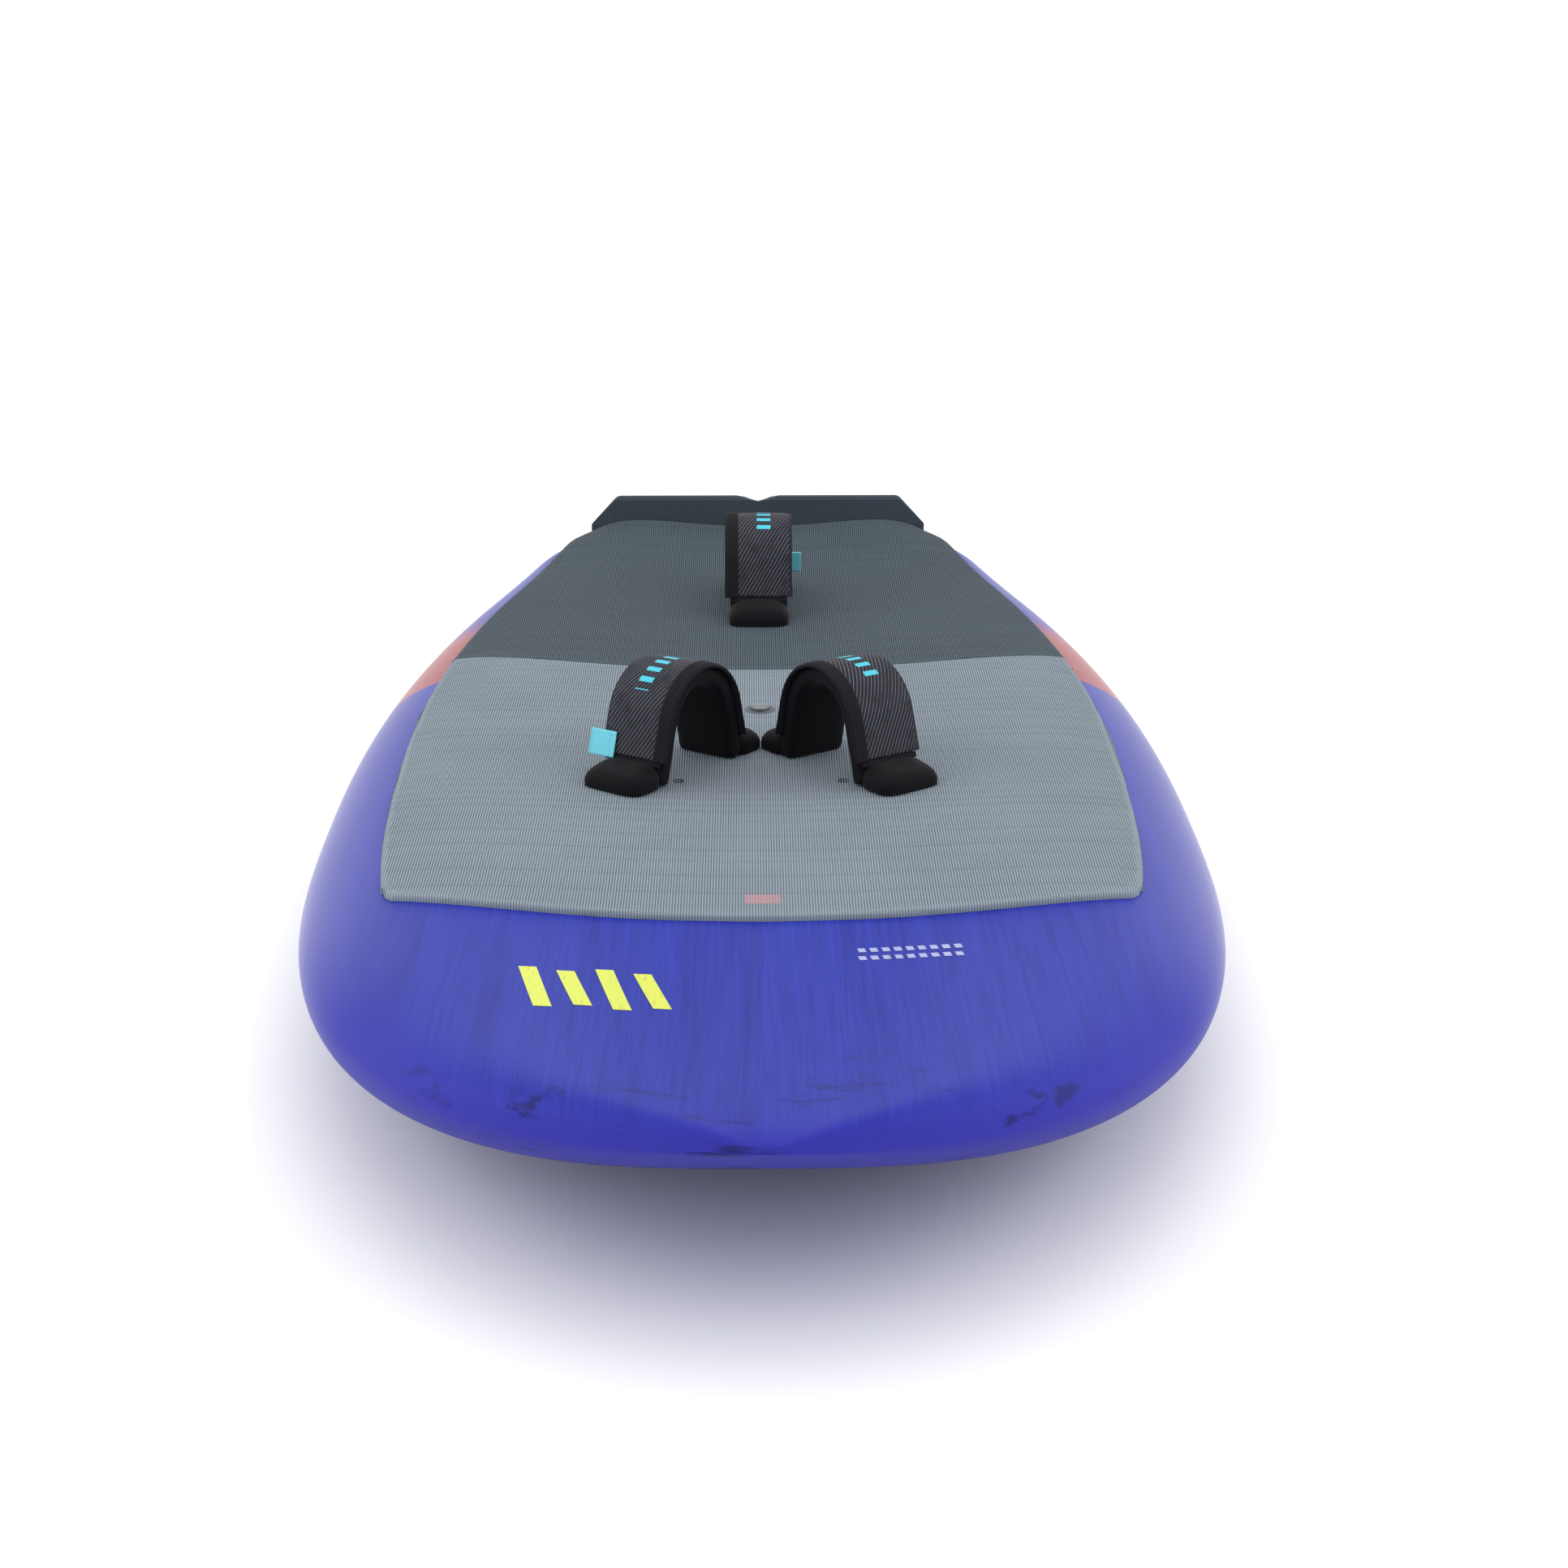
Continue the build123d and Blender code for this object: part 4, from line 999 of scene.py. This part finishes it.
def make_strap(name):
    body = "board"
    sleeve = sleeve_piece(name)
    finish_piece(sleeve, body, "neoprene", NEOPRENE, name + "_sleeve")
    base = WEBBING / 2 + SLEEVE_OUT
    end = height_distance(0.0205)
    edge = COVER_WIDTH / 2
    cover = strip_piece(name + "_cover_cloth", name, -end, end, -edge + 0.0005, edge,
                        base, 0.0022, 120, 0.0020)
    finish_piece(cover, body, "strap_cover", COVER_CLOTH, name + "_cover")
    binding = strip_piece(name + "_binding", name, -end - 0.0012, end + 0.0012,
                          -edge - 0.0004, -edge + 0.0120, base + 0.0004, 0.0030, 120, 0.0018)
    finish_piece(binding, body, "strap_cover", BINDING)
    for index, across in enumerate((-edge + 0.0026, -edge + 0.0098)):
        row = stitches(name + "_binding_stitches_" + str(index), name, across, -end, end,
                       base + 0.0032 - 0.0006)
        finish_piece(row, body, "strap_cover", STITCH)
    for side, word in zip((-1, 1), STRAPS[name][3]):
        finish_piece(boot_piece(name, side, word), body, "neoprene", NEOPRENE, name + "_" + word + "_boot")
        seam = height_distance(0.0175)
        hem = strip_piece(name + "_" + word + "_hem", name, side * (seam + 0.0022), side * (seam - 0.0026),
                          -SLEEVE_WIDTH / 2 + 0.002, SLEEVE_WIDTH / 2 - 0.002, base - 0.0002, 0.0020, 8, 0.0)
        finish_piece(hem, body, "neoprene", BINDING)
    finish_piece(tag_piece(name), body, "tag_fabric", TAG_CLOTH, name + "_tag")
    tag_face = base + COVER + 0.0013
    for index, across in enumerate((edge - 0.0100, edge + 0.0085)):
        row = stitches(name + "_tag_stitches_" + str(index), name, across, -height_distance(0.0180),
                       -height_distance(0.0360), tag_face, pitch=0.0028, length=0.0018, thick=0.0005)
        finish_piece(row, body, "tag_fabric", TAG_STITCH)


for strap_name in STRAPS:
    make_strap(strap_name)

# %% [markdown]
# ## Printed marks on the deck
# Marks are thin patches that lie on the deck. Each is a grid over a slanted bar,
# raised by the thickness of a transfer, and the deck formula gives its height.
# They are plain bars: a group of broad yellow ones on the left of the nose and
# two rows of short pale ones on the right.

# %% Deck marks
BAR_ROWS, BAR_COLUMNS = 14, 10


def bar_patch(x, station, length, width, lean):
    """Points of one slanted bar; lean shifts its nose end sideways."""
    along = np.linspace(0.0, 1.0, BAR_ROWS)[:, None]
    across = np.linspace(-0.5, 0.5, BAR_COLUMNS)[None, :]
    px = x + across * width + lean * along
    ps = station + length * along + 0 * across
    return np.stack([px, y_at(ps), deck_z(px, ps) + 0.00025], -1).reshape(-1, 3)


def marks_piece(name, bars, material):
    points = np.concatenate([bar_patch(*bar) for bar in bars])
    quads = grid_faces(BAR_ROWS, BAR_COLUMNS, flip=True)
    starts = np.arange(len(bars)) * BAR_ROWS * BAR_COLUMNS
    faces = (quads[None] + starts[:, None, None]).reshape(-1, 4)
    return finish_piece(mesh_piece(name, points, faces), "board", "board_laminate", material)


def print_finish(name, colour):
    material, tree, shader = new_material(name, roughness=0.42)
    place, _ = object_axes(tree)
    worn = noise(tree, stretched(tree, place, (300.0, 30.0, 30.0)), 1.0, 4.0, 0.6)
    tone = mix(tree, ramp(tree, worn, 0.30, 0.45), tuple(c * 0.7 for c in colour), colour)
    join(tree, tone, shader.inputs["Base Color"])
    return material


yellow_bars = [(-0.163 + 0.0265 * i, 1.318 + 0.006 * (i % 2), 0.086 - 0.012 * (i % 2), 0.0125, 0.016)
               for i in range(4)]
marks_piece("nose_bars", yellow_bars, print_finish("yellow_print", (0.560, 0.620, 0.045)))
pale_bars = [(0.069 + 0.0085 * i, 1.268 + 0.017 * row, 0.0085, 0.0052, 0.0012)
             for row in range(2) for i in range(9)]
marks_piece("nose_small_bars", pale_bars, print_finish("pale_print", (0.300, 0.330, 0.560)))

# %% [markdown]
# ## Vent and spare holes
# Round fittings are turned shapes: a short profile of radius and height is
# swept round an upright axis. The pad has a spare strap hole on each side, which
# shows as a dark dimple.

# %% Turned pieces


def turned(name, centre, profile, columns=64):
    """Profile rows of (radius, height) swept round the vertical through a point."""
    profile = np.array(profile)
    turn = np.linspace(0.0, 2 * np.pi, columns, endpoint=False)
    x = centre[0] + profile[:, :1] * np.cos(turn)
    y = centre[1] + profile[:, :1] * np.sin(turn)
    z = centre[2] + profile[:, 1:] + 0 * x
    points = np.stack([x, y, z], -1).reshape(-1, 3)
    return weld(mesh_piece(name, points, grid_faces(len(profile), columns, wrap=True)), 1e-6)


def moulded(name, colour, roughness, grain=700.0):
    material, tree, shader = new_material(name, roughness=roughness)
    place, _ = object_axes(tree)
    speck = noise(tree, place, grain, 3.0, 0.6)
    tone = mix(tree, ramp(tree, speck, 0.3, 0.7), tuple(c * 0.85 for c in colour), colour)
    join(tree, tone, shader.inputs["Base Color"])
    add_bump(tree, shader, speck, 0.15, 0.0002)
    return material


DARK_HOLE = moulded("hole_dark", (0.006, 0.007, 0.009), 0.9)
VENT_GREY = moulded("vent_moulding", (0.055, 0.068, 0.080), 0.5)
vent_low, vent_high = [np.array(v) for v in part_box("vent_plug_body")]
vent_centre = ((vent_low[0] + vent_high[0]) / 2, (vent_low[1] + vent_high[1]) / 2)
vent_station = TAIL_Y - vent_centre[1]
vent_radius = (vent_high[0] - vent_low[0]) / 2
pad_face = float(deck_z(0.0, vent_station)) + PAD_THICKNESS
rim = [(0.0052, -0.030), (vent_radius - 0.003, -0.030), (vent_radius - 0.003, -0.006),
       (vent_radius, -0.004), (vent_radius, 0.0001), (vent_radius - 0.0010, 0.0008),
       (0.0095, 0.0006), (0.0088, 0.0002), (0.0088, -0.0015), (0.0052, -0.0015), (0.0052, -0.030)]
vent = turned("vent_disc", (*vent_centre, pad_face), rim)
finish_piece(vent, "board", "moulded_grey", VENT_GREY, "vent_plug_body")

DIMPLE = [(0.0, -0.0004), (0.0030, -0.0003), (0.0040, 0.0001), (0.0044, 0.0002),
          (0.0044, -0.0008), (0.0, -0.0009)]
for side, word in ((-1, "left"), (1, "right")):
    x, station = side * 0.068, 0.888
    height = float(deck_z(x, station)) + PAD_THICKNESS
    dimple = turned(word + "_spare_hole", (x, y_at(station), height), DIMPLE)
    finish_piece(dimple, "board", "pad_light", DARK_HOLE)

# %% [markdown]
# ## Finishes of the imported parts
# Parts that show as they were packed get a finish of their own: moulded nylon,
# turned metal, woven tape and the two foams inside the hull. The record says
# which slot each part belongs to, so one table serves them all.

# %% Finishes by slot


def metal(name, colour, roughness):
    material, tree, shader = new_material(name, metallic=1.0, roughness=roughness)
    place, _ = object_axes(tree)
    brushed = noise(tree, stretched(tree, place, (40.0, 900.0, 900.0)), 1.0, 3.0, 0.6)
    tone = mix(tree, ramp(tree, brushed, 0.3, 0.7), tuple(c * 0.85 for c in colour), colour)
    join(tree, tone, shader.inputs["Base Color"])
    add_bump(tree, shader, brushed, 0.08, 0.0001)
    return material


FINISHES = {
    "board_laminate": BOARD,
    "core_foam": moulded("bead_foam", (0.80, 0.80, 0.77), 0.9, 300.0),
    "dense_foam": moulded("dense_foam", (0.56, 0.40, 0.17), 0.85, 500.0),
    "pad_light": PAD_LIGHT,
    # Painted shade: the kick pad grey is about half the rear pad's, standing in for the steep kick face
    # getting less light from above.
    "pad_dark": pad_material("kick_pad_grey_painted_shade", (0.040, 0.053, 0.070), (0.018, 0.025, 0.034)),
    "badge_red": moulded("badge_rubber", (0.450, 0.140, 0.165), 0.55),
    "moulded_black": moulded("nylon_black", (0.020, 0.020, 0.022), 0.5),
    "brass_nut": metal("brass", (0.75, 0.52, 0.24), 0.3),
    "moulded_grey": moulded("nylon_grey", (0.10, 0.12, 0.14), 0.5),
    "stainless": metal("stainless", (0.30, 0.32, 0.34), 0.45),
    "seal_rubber": moulded("seal_rubber", (0.008, 0.008, 0.008), 0.6),
    "webbing": plain_cloth("woven_webbing", (0.010, 0.010, 0.012), 0.8, 1500.0),
    "strap_cover": COVER_CLOTH,
    "tag_fabric": TAG_CLOTH,
    "neoprene": NEOPRENE,
}
slot_of = {}
for part in frame["record"]["subparts"]:
    slot_of[part["node"]] = part["material_slot"]
for node_name, packed in frame["nodes"].items():
    packed.data.materials.clear()
    packed.data.materials.append(FINISHES[slot_of[node_name]])
print(len(slot_of), "packed parts finished")
